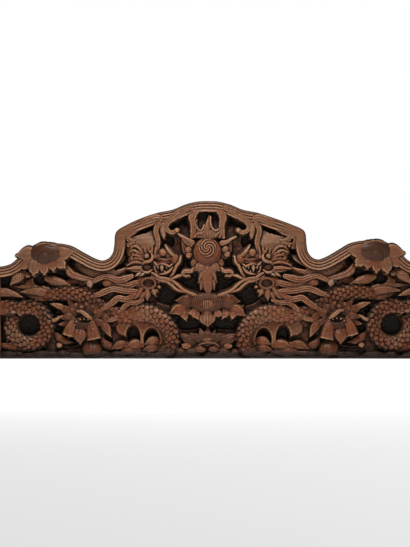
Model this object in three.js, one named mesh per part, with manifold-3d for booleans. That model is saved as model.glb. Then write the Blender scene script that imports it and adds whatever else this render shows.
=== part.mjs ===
// The crest rail of a carved teak frame: one thick plank in deep relief. Two dragons face a flaming pearl
// over a lotus, among more lotus flowers, under a reeded border that swoops up to a hump in the middle.
// Millimetres. +X runs to the right, +Z up, and the carved face looks along -Y. The rail is cut square at
// both ends, its back is flat, and it stands on its straight lower edge.
// A place on the carving is [x, z, height], where height is measured forward from the flat back.

import * as THREE from "three";
import Module from "manifold-3d";

const wasm = await Module();
wasm.setup();

// The plank
const LENGTH = 1050;
const GROUND = 14; // height of the deepest ground
const PANEL = 24; // height of the raised ground behind the tracery and the dragons' necks
const ROOT = 9; // carved forms start this high, inside the ground
const RAIL_TALL = 13;
const RAIL_DEEP = 50;
const AXIS = -3.5; // the dragons face each other across this line, just left of the middle
const WING_SHIFT = 14; // the right wing was carved this much further out than a true mirror of the left
const SHIFT_STARTS = 170;
const SHIFT_FULL = 240;
const RIGHT_LIFT = 7; // and its top this much higher
const LIFT_STARTS = 150;
const LIFT_FULL = 400;
const WING_TALL = 290;

// The reeded border: distance in from the outer edge, and height
const BORDER_WIDE = 27;
const BORDER_STEP = 28; // sections of the border are this far apart
const BORDER_PROFILE = [
  [0, 0],
  [0, 51],
  [6, 57],
  [11, 51],
  [16, 55],
  [20, 50],
  [24, 53],
  [BORDER_WIDE, 48],
  [BORDER_WIDE, 0],
];
const PANEL_INSET = 2; // the plank lies this far inside the border's outer face
const FACET_SLACK = 1; // facets within this distance of one plane are joined

// Upper outline of the left half, from the middle of the hump out to the end
const HUMP_EDGE = [
  [0, 393],
  [-28, 392],
  [-58, 385],
  [-90, 372],
  [-128, 364],
  [-165, 352],
  [-205, 334],
  [-229, 319],
  [-236, 302],
];
const WING_EDGE = [
  [-224, 322],
  [-234, 309],
  [-236, 285],
  [-240, 264],
  [-251, 250],
  [-266, 245],
  [-285, 250],
  [-316, 266],
  [-348, 283],
  [-380, 288],
  [-410, 286],
  [-442, 275],
  [-470, 257],
  [-492, 238],
  [-512, 231],
  [-545, 230],
];

const FRONT = new THREE.Vector3(0, -1, 0);
const smooth = (t) => THREE.MathUtils.smoothstep(t, 0, 1);
const mix = THREE.MathUtils.lerp;

// A place on the left half as a point in space, or its twin on the right half.
function spot([x, z, height], side) {
  if (side < 0) return new THREE.Vector3(x, -height, z);
  const shift = 2 * AXIS + WING_SHIFT * THREE.MathUtils.smoothstep(-x, SHIFT_STARTS, SHIFT_FULL);
  const lift = RIGHT_LIFT * THREE.MathUtils.smoothstep(-x, LIFT_STARTS, LIFT_FULL);
  return new THREE.Vector3(shift - x, -height, z + (lift * z) / WING_TALL);
}

// A closed solid from its vertices and triangles, turned so that its faces point out.
function solid(vertices, triangles) {
  const made = (list) =>
    new wasm.Manifold(
      new wasm.Mesh({
        numProp: 3,
        vertProperties: new Float32Array(vertices.flatMap((v) => [v.x, v.y, v.z])),
        triVerts: new Uint32Array(list),
      }),
    );
  const first = made(triangles);
  if (first.volume() > 0) return first;
  const turned = [];
  for (let i = 0; i < triangles.length; i += 3)
    turned.push(triangles[i], triangles[i + 2], triangles[i + 1]);
  return made(turned);
}

// A solid skinned over a row of sections with equal numbers of corners, closed by a fan at each end.
// Where an apex is given, the last fan runs out to that point.
function loft(sections, apex) {
  const count = sections[0].length;
  const vertices = sections.flat();
  const triangles = [];
  for (let s = 0; s < sections.length - 1; s++)
    for (let i = 0; i < count; i++) {
      const a = s * count + i;
      const b = s * count + ((i + 1) % count);
      triangles.push(a, b, b + count, a, b + count, a + count);
    }
  const last = sections.length - 1;
  for (const [s, end] of [[0, null], [last, apex]]) {
    const middle = end ?? new THREE.Vector3();
    if (!end) sections[s].forEach((v) => middle.addScaledVector(v, 1 / count));
    vertices.push(middle);
    for (let i = 0; i < count; i++) {
      const pair = [s * count + i, s * count + ((i + 1) % count)];
      if (s === 0) pair.reverse();
      triangles.push(...pair, vertices.length - 1);
    }
  }
  return solid(vertices, triangles);
}

// One section of a carved ridge: an arched face over walls that lean in towards the root.
const WALL_LEAN = 0.85;
function ridgeSection(middle, across, half, arch, facets, root) {
  const section = [];
  for (let i = 0; i <= facets; i++) {
    const angle = (Math.PI * i) / facets;
    section.push(
      middle
        .clone()
        .addScaledVector(across, Math.cos(angle) * half)
        .addScaledVector(FRONT, Math.sin(angle) * arch),
    );
  }
  for (const way of [-1, 1]) {
    const foot = middle.clone().addScaledVector(across, way * half * WALL_LEAN);
    foot.y = -root;
    section.push(foot);
  }
  return section;
}

// A ridge carved along a smooth path. Its half width follows the list of sizes, from start to end.
const STRAND_STEP = 36;
function strand(path, side, { sizes, arch = 0.5, step = STRAND_STEP, facets = 2, root = ROOT }) {
  const curve = new THREE.CatmullRomCurve3(path.map((p) => spot(p, side)), false, "centripetal");
  const steps = Math.max(3, Math.round(curve.getLength() / step));
  const sections = [];
  for (let i = 0; i <= steps; i++) {
    const t = i / steps;
    const at = t * (sizes.length - 1);
    const low = Math.min(Math.floor(at), sizes.length - 2);
    const half = mix(sizes[low], sizes[low + 1], at - low);
    const across = curve.getTangentAt(t).cross(FRONT).normalize();
    sections.push(ridgeSection(curve.getPointAt(t), across, half, half * 2 * arch, facets, root));
  }
  return loft(sections);
}

// A petal or leaf from its base to its pointed tip: broad in the middle, creased along its vein.
const BASE_SHARE = 0.25;
const PETAL_ARCH = 0.25;
function petal(base, tip, side, { width, rise = 4, root = ROOT, steps = 3 }) {
  const from = spot(base, side);
  const to = spot(tip, side);
  const across = to.clone().sub(from).cross(FRONT).normalize();
  const sections = [];
  for (let i = 0; i < steps; i++) {
    const t = i / steps;
    const half = (Math.sin(Math.PI * (BASE_SHARE + t * (1 - BASE_SHARE))) * width) / 2;
    const middle = from.clone().lerp(to, t).addScaledVector(FRONT, Math.sin(Math.PI * t) * rise);
    sections.push(ridgeSection(middle, across, half, half * PETAL_ARCH, 2, root));
  }
  return loft(sections, to);
}

// A rounded mass, such as a bud, a brow or a nose.
function ball(centre, radii, side, around = 7, rings = 4) {
  const [wide, tall, deep] = radii;
  const shape = new THREE.SphereGeometry(1, around, rings);
  shape.rotateX(Math.PI / 2);
  const middle = spot(centre, side);
  const vertices = [new THREE.Vector3(0, 0, 1), new THREE.Vector3(0, 0, -1)];
  const place = shape.getAttribute("position");
  for (let r = 1; r < rings; r++)
    for (let i = 0; i < around; i++)
      vertices.push(new THREE.Vector3().fromBufferAttribute(place, r * (around + 1) + i));
  const triangles = [];
  const ring = (r, i) => 2 + r * around + (i % around);
  for (let i = 0; i < around; i++) {
    triangles.push(0, ring(0, i), ring(0, i + 1));
    for (let r = 0; r < rings - 2; r++)
      triangles.push(
        ...[ring(r, i), ring(r + 1, i), ring(r + 1, i + 1)],
        ...[ring(r, i), ring(r + 1, i + 1), ring(r, i + 1)],
      );
    triangles.push(1, ring(rings - 2, i + 1), ring(rings - 2, i));
  }
  const size = new THREE.Vector3(wide, deep, tall);
  return solid(vertices.map((v) => v.multiply(size).add(middle)), triangles);
}

// Petals set round a centre, each given as [angle in degrees, reach, width].
const INNER_SHARE = 0.22;
function rosette(centre, petals, side, { low, high, root, rise }) {
  return petals.map(([angle, reach, width]) => {
    const turn = THREE.MathUtils.degToRad(angle);
    const along = (share, height) => [
      centre[0] + Math.cos(turn) * reach * share,
      centre[1] + Math.sin(turn) * reach * share,
      height,
    ];
    return petal(along(INNER_SHARE, low), along(1, high), side, { width, root, rise });
  });
}

// One half's outline as points in space, in order from left to right.
function outlinePoints(edge, side) {
  const points = edge.map(([x, z]) => spot([x, z, 0], side));
  return side < 0 ? points.reverse() : points;
}

// An outline as evenly spaced points with their inward directions.
function edgeRun(points) {
  const curve = new THREE.CatmullRomCurve3(points, false, "centripetal");
  const steps = Math.round(curve.getLength() / BORDER_STEP);
  return Array.from({ length: steps + 1 }, (_, i) => ({
    at: curve.getPointAt(i / steps),
    inward: curve.getTangentAt(i / steps).cross(FRONT),
  }));
}

function border(run) {
  return loft(
    run.map(({ at, inward }) =>
      BORDER_PROFILE.map(([distance, height]) =>
        at.clone().addScaledVector(inward, distance).addScaledVector(FRONT, height),
      ),
    ),
  );
}

// A flat slab with the outline given, from the back to a height.
function slab(outline, height) {
  const shape = new THREE.Shape(outline.map((v) => new THREE.Vector2(v.x, v.z)));
  const flat = new THREE.ExtrudeGeometry(shape, { depth: height, bevelEnabled: false, steps: 1 });
  flat.rotateX(Math.PI / 2);
  return fromGeometry(flat);
}

// A three.js geometry as a solid, with its equal vertices joined.
function fromGeometry(geometry) {
  const place = geometry.getAttribute("position");
  const index = geometry.index ? [...geometry.index.array] : [...Array(place.count).keys()];
  const known = new Map();
  const vertices = [];
  const triangles = index.map((i) => {
    const v = new THREE.Vector3().fromBufferAttribute(place, i);
    const key = [v.x, v.y, v.z].map((n) => Math.round(n * 1000)).join(" ");
    if (!known.has(key)) {
      known.set(key, vertices.length);
      vertices.push(v);
    }
    return known.get(key);
  });
  return solid(vertices, triangles);
}

function block(wide, deep, tall, x, z) {
  const box = new THREE.BoxGeometry(wide, deep, tall);
  box.translate(x, -deep / 2, z + tall / 2);
  return fromGeometry(box);
}

// The plank behind the carving, from end to end, inside the border's outer face.
function ground() {
  const edge = (side) => outlinePoints([...HUMP_EDGE.slice(1, -1), ...WING_EDGE.slice(1)], side);
  const top = edgeRun([...edge(-1), ...outlinePoints(HUMP_EDGE.slice(0, 1), 1), ...edge(1)]);
  const foot = (x) => new THREE.Vector3(x, 0, RAIL_TALL / 2);
  const outline = [
    ...top.map(({ at, inward }) => at.clone().addScaledVector(inward, PANEL_INSET)),
    foot(LENGTH / 2 + 20),
    foot(-LENGTH / 2 - 20),
  ];
  return [slab(outline, GROUND), block(LENGTH + 20, RAIL_DEEP, RAIL_TALL, 0, 0)];
}

// Raised grounds: behind the tracery's outer lobe, and in the swoop under the border.
const LOBE = [[-112, 345], [-190, 325], [-215, 290], [-190, 240], [-120, 240]];
const SWOOP = [[-205, 240], [-240, 232], [-285, 222], [-340, 250], [-330, 190], [-200, 170]];
const raisedGrounds = (side) =>
  [LOBE, SWOOP].map((corners) =>
    slab(corners.map(([x, z]) => spot([x, z, 0], side)), PANEL),
  );

// The tracery of scrolls between the hump's border and the pearl.
const HORSESHOE = [[-32, 300, 44], [-41, 320, 48], [-50, 341, 50], [-47, 360, 50], [-32, 375, 50], [4, 382, 50]];
const INNER_SCROLL = [[-52, 366, 50], [-76, 358, 50], [-95, 344, 49], [-101, 328, 48], [-94, 316, 47], [-80, 314, 46]];
const OUTER_SCROLL = [[-100, 366, 50], [-120, 346, 49], [-133, 324, 48], [-133, 300, 46], [-129, 277, 44]];
const tracery = (side) => [
  strand(HORSESHOE, side, { sizes: [5, 6, 7, 7], arch: 0.3 }),
  strand(INNER_SCROLL, side, { sizes: [8, 8, 7, 5], arch: 0.3 }),
  strand(OUTER_SCROLL, side, { sizes: [7, 7, 6, 4], arch: 0.3 }),
];

// The pearl, the flames round it, and the acanthus leaf that hangs under it.
const PEARL = [AXIS, 267, 30];
const PEARL_RADIUS = 33;
const DISC = [AXIS, 275, 46];
const DISC_RADIUS = 21;
const FLAME_HEIGHT = 40;
const SIDE_FLAME = [[-24, 284, 40], [-48, 291, 41], [-66, 301, 40], [-80, 320, 38]];
const WING_FLAMES = [
  [[-22, 270, 36], [-64, 292, 42], 26],
  [[-22, 262, 36], [-62, 258, 40], 26],
];
const ACANTHUS = [[242, 196, 50], [216, 172, 36], [196, 149, 24]];
const VOLUTE = [[-20, 236, 40], [-38, 224, 42], [-52, 212, 42], [-63, 212, 40]];
function pearl() {
  const leaves = ACANTHUS.map(([top, tip, width]) =>
    petal([AXIS, top, 46], [AXIS, tip, 44], -1, { width, rise: 3 }),
  );
  const sides = [-1, 1].flatMap((side) => [
    strand(SIDE_FLAME, side, { sizes: [8, 6, 4, 1], arch: 0.4 }),
    strand(VOLUTE, side, { sizes: [9, 7, 5, 4], arch: 0.4 }),
    ...WING_FLAMES.map(([base, tip, width]) => petal(base, tip, side, { width })),
  ]);
  return [
    ball(PEARL, [PEARL_RADIUS, PEARL_RADIUS, 27], -1, 12, 6),
    ball(DISC, [DISC_RADIUS, DISC_RADIUS, 15], -1, 10, 5),
    petal([AXIS, 292, FLAME_HEIGHT], [AXIS, 355, FLAME_HEIGHT], -1, { width: 30 }),
    ...leaves,
    ...sides,
  ];
}

// The lotus flowers: petals as [angle, reach, width].
const MIDDLE_LOTUS = [AXIS, 128];
const MIDDLE_LOTUS_BACK = [[167, 84, 38], [190, 100, 42]];
const MIDDLE_LOTUS_FRONT = [[208, 59, 32]];
const BASE_LOTUS = [AXIS, 28];
const BASE_LOTUS_PETALS = [[124, 52, 24], [162, 80, 32]];
const BUD_LOTUS = [-407, 254];
const BUD_LOTUS_PETALS = [[176, 74, 40], [12, 71, 50], [222, 58, 36], [265, 38, 28], [329, 50, 32]];
const FALLEN_LEAF = [[-460, 224, 40], [-495, 186, 42], 24];
const OPEN_LOTUS = [-310, 92];
const OPEN_LOTUS_BACK = [[154, 93, 38], [113, 66, 34], [78, 60, 30], [285, 78, 48]];
const OPEN_LOTUS_FRONT = [[212, 60, 38], [252, 53, 36], [299, 52, 38], [349, 62, 26]];
function middleLotus() {
  const [x, z] = MIDDLE_LOTUS;
  const outer = [-1, 1].flatMap((side) => [
    ...rosette(MIDDLE_LOTUS, MIDDLE_LOTUS_BACK, side, { low: 38, high: 50, rise: 6 }),
    ...rosette(MIDDLE_LOTUS, MIDDLE_LOTUS_FRONT, side, { low: 48, high: 56, rise: 4 }),
    ...rosette(BASE_LOTUS, BASE_LOTUS_PETALS, side, { low: 32, high: 44, rise: 4 }),
    ball([-52, 33, 42], [11, 7, 8], side),
  ]);
  return [
    ...outer,
    petal([x, z - 6, 52], [x, 80, 56], -1, { width: 42 }),
    ball([x, z + 5, 40], [42, 21, 20], -1, 10, 5),
    ball([x, z + 12, 52], [15, 11, 10], -1),
    petal([AXIS, 26, 44], [AXIS, 70, 48], -1, { width: 36 }),
    ball([AXIS, 22, 38], [34, 11, 14], -1),
  ];
}

function wingLotuses(side) {
  const [x, z] = OPEN_LOTUS;
  return [
    ...rosette(BUD_LOTUS, BUD_LOTUS_PETALS, side, { low: 46, high: 54, root: 30, rise: 4 }),
    ball([BUD_LOTUS[0], BUD_LOTUS[1] + 7, 46], [37, 25, 22], side, 10, 5),
    petal(FALLEN_LEAF[0], FALLEN_LEAF[1], side, { width: FALLEN_LEAF[2] }),
    petal([-402, 218, 30], [-352, 186, 34], side, { width: 34 }),
    ...rosette(OPEN_LOTUS, OPEN_LOTUS_BACK, side, { low: 38, high: 44, rise: 4 }),
    ...rosette(OPEN_LOTUS, OPEN_LOTUS_FRONT, side, { low: 46, high: 54, rise: 4 }),
    ball([x, z + 1, 44], [28, 16, 18], side),
    strand([[x - 18, z + 26, 50], [x, z + 18, 56], [x + 13, z + 8, 54]], side, { sizes: [6, 8, 6] }),
  ];
}

// Each dragon's body runs from its tail behind the flowers to its breast. The loop is the same body
// further back, where it rings a dark hollow.
const BODY = [
  [-425, 152, 24], [-400, 158, 32], [-368, 163, 34], [-330, 161, 32], [-290, 146, 26], [-245, 118, 24],
  [-205, 106, 30], [-175, 112, 38], [-145, 111, 41], [-118, 96, 41], [-99, 72, 40], [-93, 46, 38], [-102, 20, 34],
];
const BODY_SIZES = [10, 15, 17, 17, 16, 16, 20, 22, 22, 21, 20, 19, 18];
const RING_CENTRE = [-452, 82];
const RING_RADIUS = 44;
const RING_SIZES = [20, 20, 20, 17];
const BODY_STEP = 30;
const RING_FROM = 118; // degrees
const RING_TO = -215;
const LEAVING = [[-548, 114, 32], [-510, 126, 34]];
const TAIL_FIN = [[-395, 158, 34], [-432, 167, 34], [-472, 166, 30]];
const EDGE_FIN = [[-540, 166, 30], [-468, 152, 34], 24];
function ringPath() {
  const turns = 9;
  const round = Array.from({ length: turns + 1 }, (_, i) => {
    const angle = THREE.MathUtils.degToRad(mix(RING_FROM, RING_TO, i / turns));
    return [
      RING_CENTRE[0] + Math.cos(angle) * RING_RADIUS,
      RING_CENTRE[1] + Math.sin(angle) * RING_RADIUS,
      mix(36, 22, smooth(i / turns)),
    ];
  });
  return [...LEAVING, ...round];
}

// Under the breast hang a clawed fin with two hollows and a folded foot.
const FIN_SPIKE = [[-166, 98, 40], [-166, 40, 42], 22];
const FIN_LEG = [[-192, 116, 36], [-207, 92, 38], [-216, 66, 38], [-220, 44, 34]];
const FOOT = [[-142, 30, 30], [24, 17, 16]];
const FOOT_LEAF = [[-165, 22, 32], [-242, 30, 34], 26];
const LOW_LEAF = [[-440, 20, 26], [-535, 34, 26], 26];

// The mane: wavy strands that stream from the head to the flowers.
const MANE = [
  [[-176, 212, 44], [-200, 205, 44], [-225, 201, 42], [-250, 205, 42], [-268, 202, 40], [-288, 193, 38], [-312, 191, 34]],
  [[-168, 174, 44], [-197, 166, 43], [-217, 161, 42], [-238, 171, 42], [-262, 161, 40], [-284, 156, 38], [-308, 148, 36]],
  [[-170, 158, 46], [-195, 151, 45], [-225, 153, 44], [-240, 140, 42], [-254, 127, 41], [-272, 122, 40], [-294, 124, 38]],
  [[-152, 149, 48], [-172, 139, 47], [-198, 139, 45], [-211, 132, 44], [-220, 117, 43], [-231, 104, 42], [-252, 99, 40], [-284, 103, 38]],
];
const MANE_SIZES = [5, 7, 7, 6, 3];

// The head, which looks towards the pearl with an open mouth.
const EYE = [-151, 229, 50];
const SKULL = [[-158, 236, 34], [30, 26, 22]];
const MUZZLE = [[-122, 244, 38], [30, 14, 18]];
const NOSE = [[-113, 262, 44], [11, 11, 12]];
const BROW = [[-172, 230, 48], [-164, 242, 52], [-150, 248, 54], [-139, 258, 50]];
const JAW = [[-142, 213, 42], [-118, 204, 46], [-98, 206, 46], [-84, 222, 44], [-76, 240, 42], [-80, 254, 40]];
const WHISKER = [[-144, 212, 46], [-119, 198, 48], [-98, 192, 48], [-84, 182, 47], [-66, 173, 46], [-37, 158, 44], [-16, 150, 42]];
const WHISKER_FORK = [[-100, 194, 46], [-80, 203, 44], [-60, 209, 42]];
const CHEEK = [[-154, 186, 38], [29, 21, 19]];
// Tufts as [base, tip, width]
const TUFTS = [
  [[-160, 238, 42], [-204, 226, 44], 14],
  [[-160, 250, 42], [-198, 240, 42], 16],
  [[-162, 264, 38], [-200, 284, 42], 16],
  [[-94, 254, 40], [-108, 281, 42], 10],
];
const BEARD = [
  [[-168, 174, 46], [-184, 146, 46], 13],
  [[-156, 170, 48], [-156, 143, 48], 13],
];

function dragon(side) {
  const mass = ([centre, radii]) => ball(centre, radii, side);
  const blade = ([base, tip, width]) => petal(base, tip, side, { width });
  const lock = ([base, tip, width]) => petal(base, tip, side, { width, steps: 2 });
  return [
    strand(BODY, side, { sizes: BODY_SIZES, facets: 3, step: BODY_STEP }),
    strand(ringPath(), side, { sizes: RING_SIZES, facets: 3, step: BODY_STEP }),
    strand(TAIL_FIN, side, { sizes: [13, 9, 1], arch: 0.3 }),
    ...[EDGE_FIN, FIN_SPIKE, FOOT_LEAF, LOW_LEAF].map(blade),
    strand(FIN_LEG, side, { sizes: [10, 9, 7, 3], arch: 0.3 }),
    ...MANE.map((path) => strand(path, side, { sizes: MANE_SIZES, arch: 0.4 })),
    ...[SKULL, MUZZLE, NOSE, CHEEK, FOOT].map(mass),
    ball(EYE, [10, 10, 9], side),
    strand(BROW, side, { sizes: [4, 5, 5, 3] }),
    strand(JAW, side, { sizes: [7, 6, 5, 2] }),
    strand(WHISKER, side, { sizes: [6, 6, 4, 2] }),
    strand(WHISKER_FORK, side, { sizes: [4, 4, 1] }),
    ...[...TUFTS, ...BEARD].map(lock),
  ];
}

// The branch that joins the bud lotus to the mane.
const BRANCH = [[-360, 234, 36], [-343, 217, 36], [-322, 206, 34], [-298, 198, 32]];

const sides = [-1, 1];
const hump = [...outlinePoints(HUMP_EDGE, -1), ...outlinePoints(HUMP_EDGE.slice(1), 1)];
const pieces = [
  ...ground(),
  border(edgeRun(hump)),
  ...sides.flatMap((side) => [
    border(edgeRun(outlinePoints(WING_EDGE, side))),
    ...raisedGrounds(side),
    ...tracery(side),
    strand(BRANCH, side, { sizes: [5, 9, 8, 4], arch: 0.3 }),
    ...wingLotuses(side),
    ...dragon(side),
  ]),
  ...pearl(),
  ...middleLotus(),
];
const carving = wasm.Manifold.union(pieces);
const between = block(LENGTH, 200, 500, 0, 0);
const trimmed = carving.intersect(between).simplify(FACET_SLACK);

// Pockets that the carving closes off inside the wood are filled: only the outer skin is kept.
const [skin] = trimmed.decompose().sort((a, b) => b.volume() - a.volume());
const mesh = skin.getMesh();
const geometry = new THREE.BufferGeometry();
geometry.setAttribute("position", new THREE.BufferAttribute(mesh.vertProperties, 3));
geometry.setIndex(new THREE.BufferAttribute(mesh.triVerts, 1));
geometry.computeBoundingBox();
const depth = -geometry.boundingBox.min.y;

const teak = new THREE.MeshStandardMaterial({ color: 0x70482f, roughness: 0.55, metalness: 0 });
const crest = new THREE.Mesh(geometry, teak);
crest.name = "carved_crest";
crest.position.y = depth / 2;

const frame = new THREE.Group();
frame.add(crest);
export default frame;
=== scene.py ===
"""The crest rail of a carved teak frame: two dragons, a flaming pearl and lotus flowers in deep relief.

The carving is worked out as a relief: each form raises the heights of a fine grid over the plank, and
the grid becomes closed meshes. Places on it are [x, z, height] in millimetres, with x from the middle of
the rail, z from its underside, and height measured forward from the flat back. Lists hold the left half,
and place() gives the right half's twin.
"""
import math
import bmesh
import bpy
import numpy as np
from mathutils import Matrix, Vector


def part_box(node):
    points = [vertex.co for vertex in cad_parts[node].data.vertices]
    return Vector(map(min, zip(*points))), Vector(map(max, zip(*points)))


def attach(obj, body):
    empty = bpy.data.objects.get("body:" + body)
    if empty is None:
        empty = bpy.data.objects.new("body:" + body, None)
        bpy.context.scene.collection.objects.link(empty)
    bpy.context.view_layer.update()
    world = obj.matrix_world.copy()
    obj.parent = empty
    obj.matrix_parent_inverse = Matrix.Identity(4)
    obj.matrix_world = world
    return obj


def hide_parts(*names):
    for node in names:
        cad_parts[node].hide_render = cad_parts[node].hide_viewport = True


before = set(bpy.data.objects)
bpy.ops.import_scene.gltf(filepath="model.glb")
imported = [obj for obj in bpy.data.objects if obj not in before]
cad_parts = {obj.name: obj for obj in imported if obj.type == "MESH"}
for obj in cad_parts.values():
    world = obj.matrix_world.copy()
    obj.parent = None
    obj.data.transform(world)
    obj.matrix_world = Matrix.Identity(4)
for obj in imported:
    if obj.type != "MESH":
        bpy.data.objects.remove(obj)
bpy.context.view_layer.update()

MM = 0.001
NODE = "carved_crest"
BODY = "root"
CREST_LOW, CREST_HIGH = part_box(NODE)
LENGTH = (CREST_HIGH[0] - CREST_LOW[0]) / MM
TALL = (CREST_HIGH[2] - CREST_LOW[2]) / MM
BACK_Y = CREST_HIGH[1]

# The plank
GROUND = 11.5
UNDERGROWTH = 23
PANEL = 26
PLANK_THICK = 10
FIELD_BACK = 6
RAIL_TALL = 9
RAIL_DEEP = 50
END_INSET = 0.2  # the relief's ends lie this far inside the plank's

# The right half's twin
LEFT = -1
RIGHT = 1
SIDES = (LEFT, RIGHT)
ONCE = LEFT  # for the forms of the middle, which stay where they are given
AXIS = -3.5
WING_SHIFT = 14
SHIFT_STARTS = 170
SHIFT_FULL = 240
RIGHT_LIFT = 7
LIFT_STARTS = 150
LIFT_FULL = 400
WING_TALL = 290

HUMP_EDGE = [
    [0, 393], [-28, 392], [-58, 385], [-90, 372], [-128, 364], [-165, 352], [-205, 334], [-229, 319],
]
WING_EDGE = [
    [-234, 309], [-236, 285], [-240, 264], [-251, 250], [-266, 245], [-285, 250], [-316, 266],
    [-348, 283], [-380, 288], [-410, 286], [-442, 275], [-470, 257], [-492, 238], [-512, 231], [-545, 230],
]


def smoothstep(low, high, value):
    """A smooth rise from 0 to 1 between two values."""
    share = np.clip((np.asarray(value, float) - low) / (high - low), 0, 1)
    return share * share * (3 - 2 * share)


def place(points, side):
    """Points of the left half, or their twins on the right half."""
    points = np.array(points, float)
    if side < 0:
        return points
    out = points.copy()
    reach = -points[:, 0]
    out[:, 0] = reach + 2 * AXIS + WING_SHIFT * smoothstep(SHIFT_STARTS, SHIFT_FULL, reach)
    out[:, 1] += RIGHT_LIFT * smoothstep(LIFT_STARTS, LIFT_FULL, reach) * points[:, 1] / WING_TALL
    return out


def smooth_path(points, step=2.0):
    """Closely spaced points of a smooth curve through the points given."""
    p = np.asarray(points, float)
    p = np.vstack([2 * p[0] - p[1], p, 2 * p[-1] - p[-2]])
    gaps = np.linalg.norm(np.diff(p[:, :2], axis=0), axis=1)
    knots = np.concatenate([[0], np.cumsum(np.sqrt(np.maximum(gaps, 1e-3)))])
    pieces = []
    for i in range(1, len(p) - 2):
        k0, k1, k2, k3 = knots[i - 1 : i + 3]
        count = max(2, int(round(gaps[i] / step)))
        t = (k1 + (k2 - k1) * np.arange(count) / count)[:, None]
        a = ((k1 - t) * p[i - 1] + (t - k0) * p[i]) / (k1 - k0)
        b = ((k2 - t) * p[i] + (t - k1) * p[i + 1]) / (k2 - k1)
        c = ((k3 - t) * p[i + 1] + (t - k2) * p[i + 2]) / (k3 - k2)
        d = ((k2 - t) * a + (t - k0) * b) / (k2 - k0)
        e = ((k3 - t) * b + (t - k1) * c) / (k3 - k1)
        pieces.append(((k2 - t) * d + (t - k1) * e) / (k2 - k1))
    pieces.append(p[-2:-1])
    return np.vstack(pieces)


def lengths_along(path):
    """How far along a path each of its points lies."""
    steps = np.linalg.norm(np.diff(path[:, :2], axis=0), axis=1)
    return np.concatenate([[0], np.cumsum(steps)])


def directions(path):
    """The way a path runs at each of its points."""
    along = np.gradient(path[:, :2], axis=0)
    return along / np.linalg.norm(along, axis=1)[:, None]


def nearest_point(path, spot):
    """The number of the point of a path that lies nearest to a spot."""
    return int(np.argmin(np.hypot(*(path[:, :2] - spot).T)))


# The grid of heights
CELL = 1.0
COLUMNS = int(round(LENGTH / CELL)) + 1
ROWS = int(math.ceil(TALL / CELL)) + 2
GRID_X = np.linspace(-LENGTH / 2, LENGTH / 2, COLUMNS)
GRID_Z = np.arange(ROWS) * CELL
WALL = 3.6  # how steeply the sides of a form fall
WALL_REACH = 11
MARGIN = 8  # room for the walls of a dome or a sink
FAR = 1e4
LEAST_HALF = 0.4
TINY = 1e-6


def window(low, high):
    """The rows and columns of the grid between two corners."""
    first = [int(math.floor((low[0] + LENGTH / 2) / CELL)), int(math.floor(low[1] / CELL))]
    last = [int(math.ceil((high[0] + LENGTH / 2) / CELL)) + 1, int(math.ceil(high[1] / CELL)) + 1]
    columns = slice(min(max(first[0], 0), COLUMNS), min(max(last[0], 0), COLUMNS))
    rows = slice(min(max(first[1], 0), ROWS), min(max(last[1], 0), ROWS))
    return rows, columns


class Stroke:
    """Where the cells near a smooth path lie: across it, along it, and its height beside them."""

    def __init__(self, points, side, reach):
        path = smooth_path(place(points, side))
        self.path = path
        steps = np.linalg.norm(np.diff(path[:, :2], axis=0), axis=1)
        lengths = lengths_along(path)
        self.window = window(path[:, :2].min(0) - reach, path[:, :2].max(0) + reach)
        first_row, first_column = self.window[0].start, self.window[1].start
        x = GRID_X[self.window[1]][None, :]
        z = GRID_Z[self.window[0]][:, None]
        shape = (z.shape[0], x.shape[1])
        nearest = np.full(shape, np.inf)
        self.across = np.full(shape, FAR)
        self.along = np.zeros(shape)
        self.base = np.zeros(shape)
        for i, (a, b) in enumerate(zip(path, path[1:])):
            rows, columns = window(np.minimum(a, b)[:2] - reach, np.maximum(a, b)[:2] + reach)
            rows = slice(rows.start - first_row, rows.stop - first_row)
            columns = slice(columns.start - first_column, columns.stop - first_column)
            span = b - a
            size = max(steps[i], TINY)
            dx = x[:, columns] - a[0]
            dz = z[rows, :] - a[1]
            if dx.size == 0 or dz.size == 0:
                continue
            share = np.clip((dx * span[0] + dz * span[1]) / size**2, 0, 1)
            square = (dx - share * span[0]) ** 2 + (dz - share * span[1]) ** 2
            better = square < nearest[rows, columns]
            turn = np.where(span[0] * dz - span[1] * dx >= 0, 1.0, -1.0)
            np.copyto(nearest[rows, columns], square, where=better)
            np.copyto(self.across[rows, columns], np.sqrt(square) * turn, where=better)
            np.copyto(self.along[rows, columns], lengths[i] + share * size, where=better)
            np.copyto(self.base[rows, columns], a[2] + share * span[2], where=better)
        self.share = self.along / max(lengths[-1], TINY)

    def half(self, sizes):
        """The half width beside each cell, from half widths spread evenly along the path."""
        return np.maximum(np.interp(self.share, np.linspace(0, 1, len(sizes)), sizes), LEAST_HALF)


def round_top(u):
    return np.sqrt(np.clip(1 - u * u, 0, 1))


def soft_top(u):
    return 1 - u * u


def reeds(count, deep=2.0):
    """Fine grooves that run along a form and split it into reeds or strands of hair."""
    def detail(u, half):
        ridges = np.abs(np.cos(np.pi * count / 2 * (u + 1 - 1 / count))) ** 0.9
        return -deep * (1 - ridges) * np.minimum(1, half / 4)
    return detail


def around(centre, radii, side, margin=0):
    """The window round an ellipse, its cells' places from the middle, and how far out they lie."""
    (x0, z0), = place([centre[:2]], side)
    wide, tall = radii[:2]
    spot = window([x0 - wide - margin, z0 - tall - margin], [x0 + wide + margin, z0 + tall + margin])
    dx = (GRID_X[spot[1]][None, :] - x0) * -side
    dz = GRID_Z[spot[0]][:, None] - z0
    return spot, dx, dz, np.sqrt((dx / wide) ** 2 + (dz / tall) ** 2)


VEIN_HALF = 1.3
RIB_DEEP = 0.7
FAN_DEEP = 0.55
FULL_RIBS = 5  # the half width at which a petal's ribs are at their deepest
SINK_FLAT = 0.75  # the share of a sink that is flat


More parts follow.
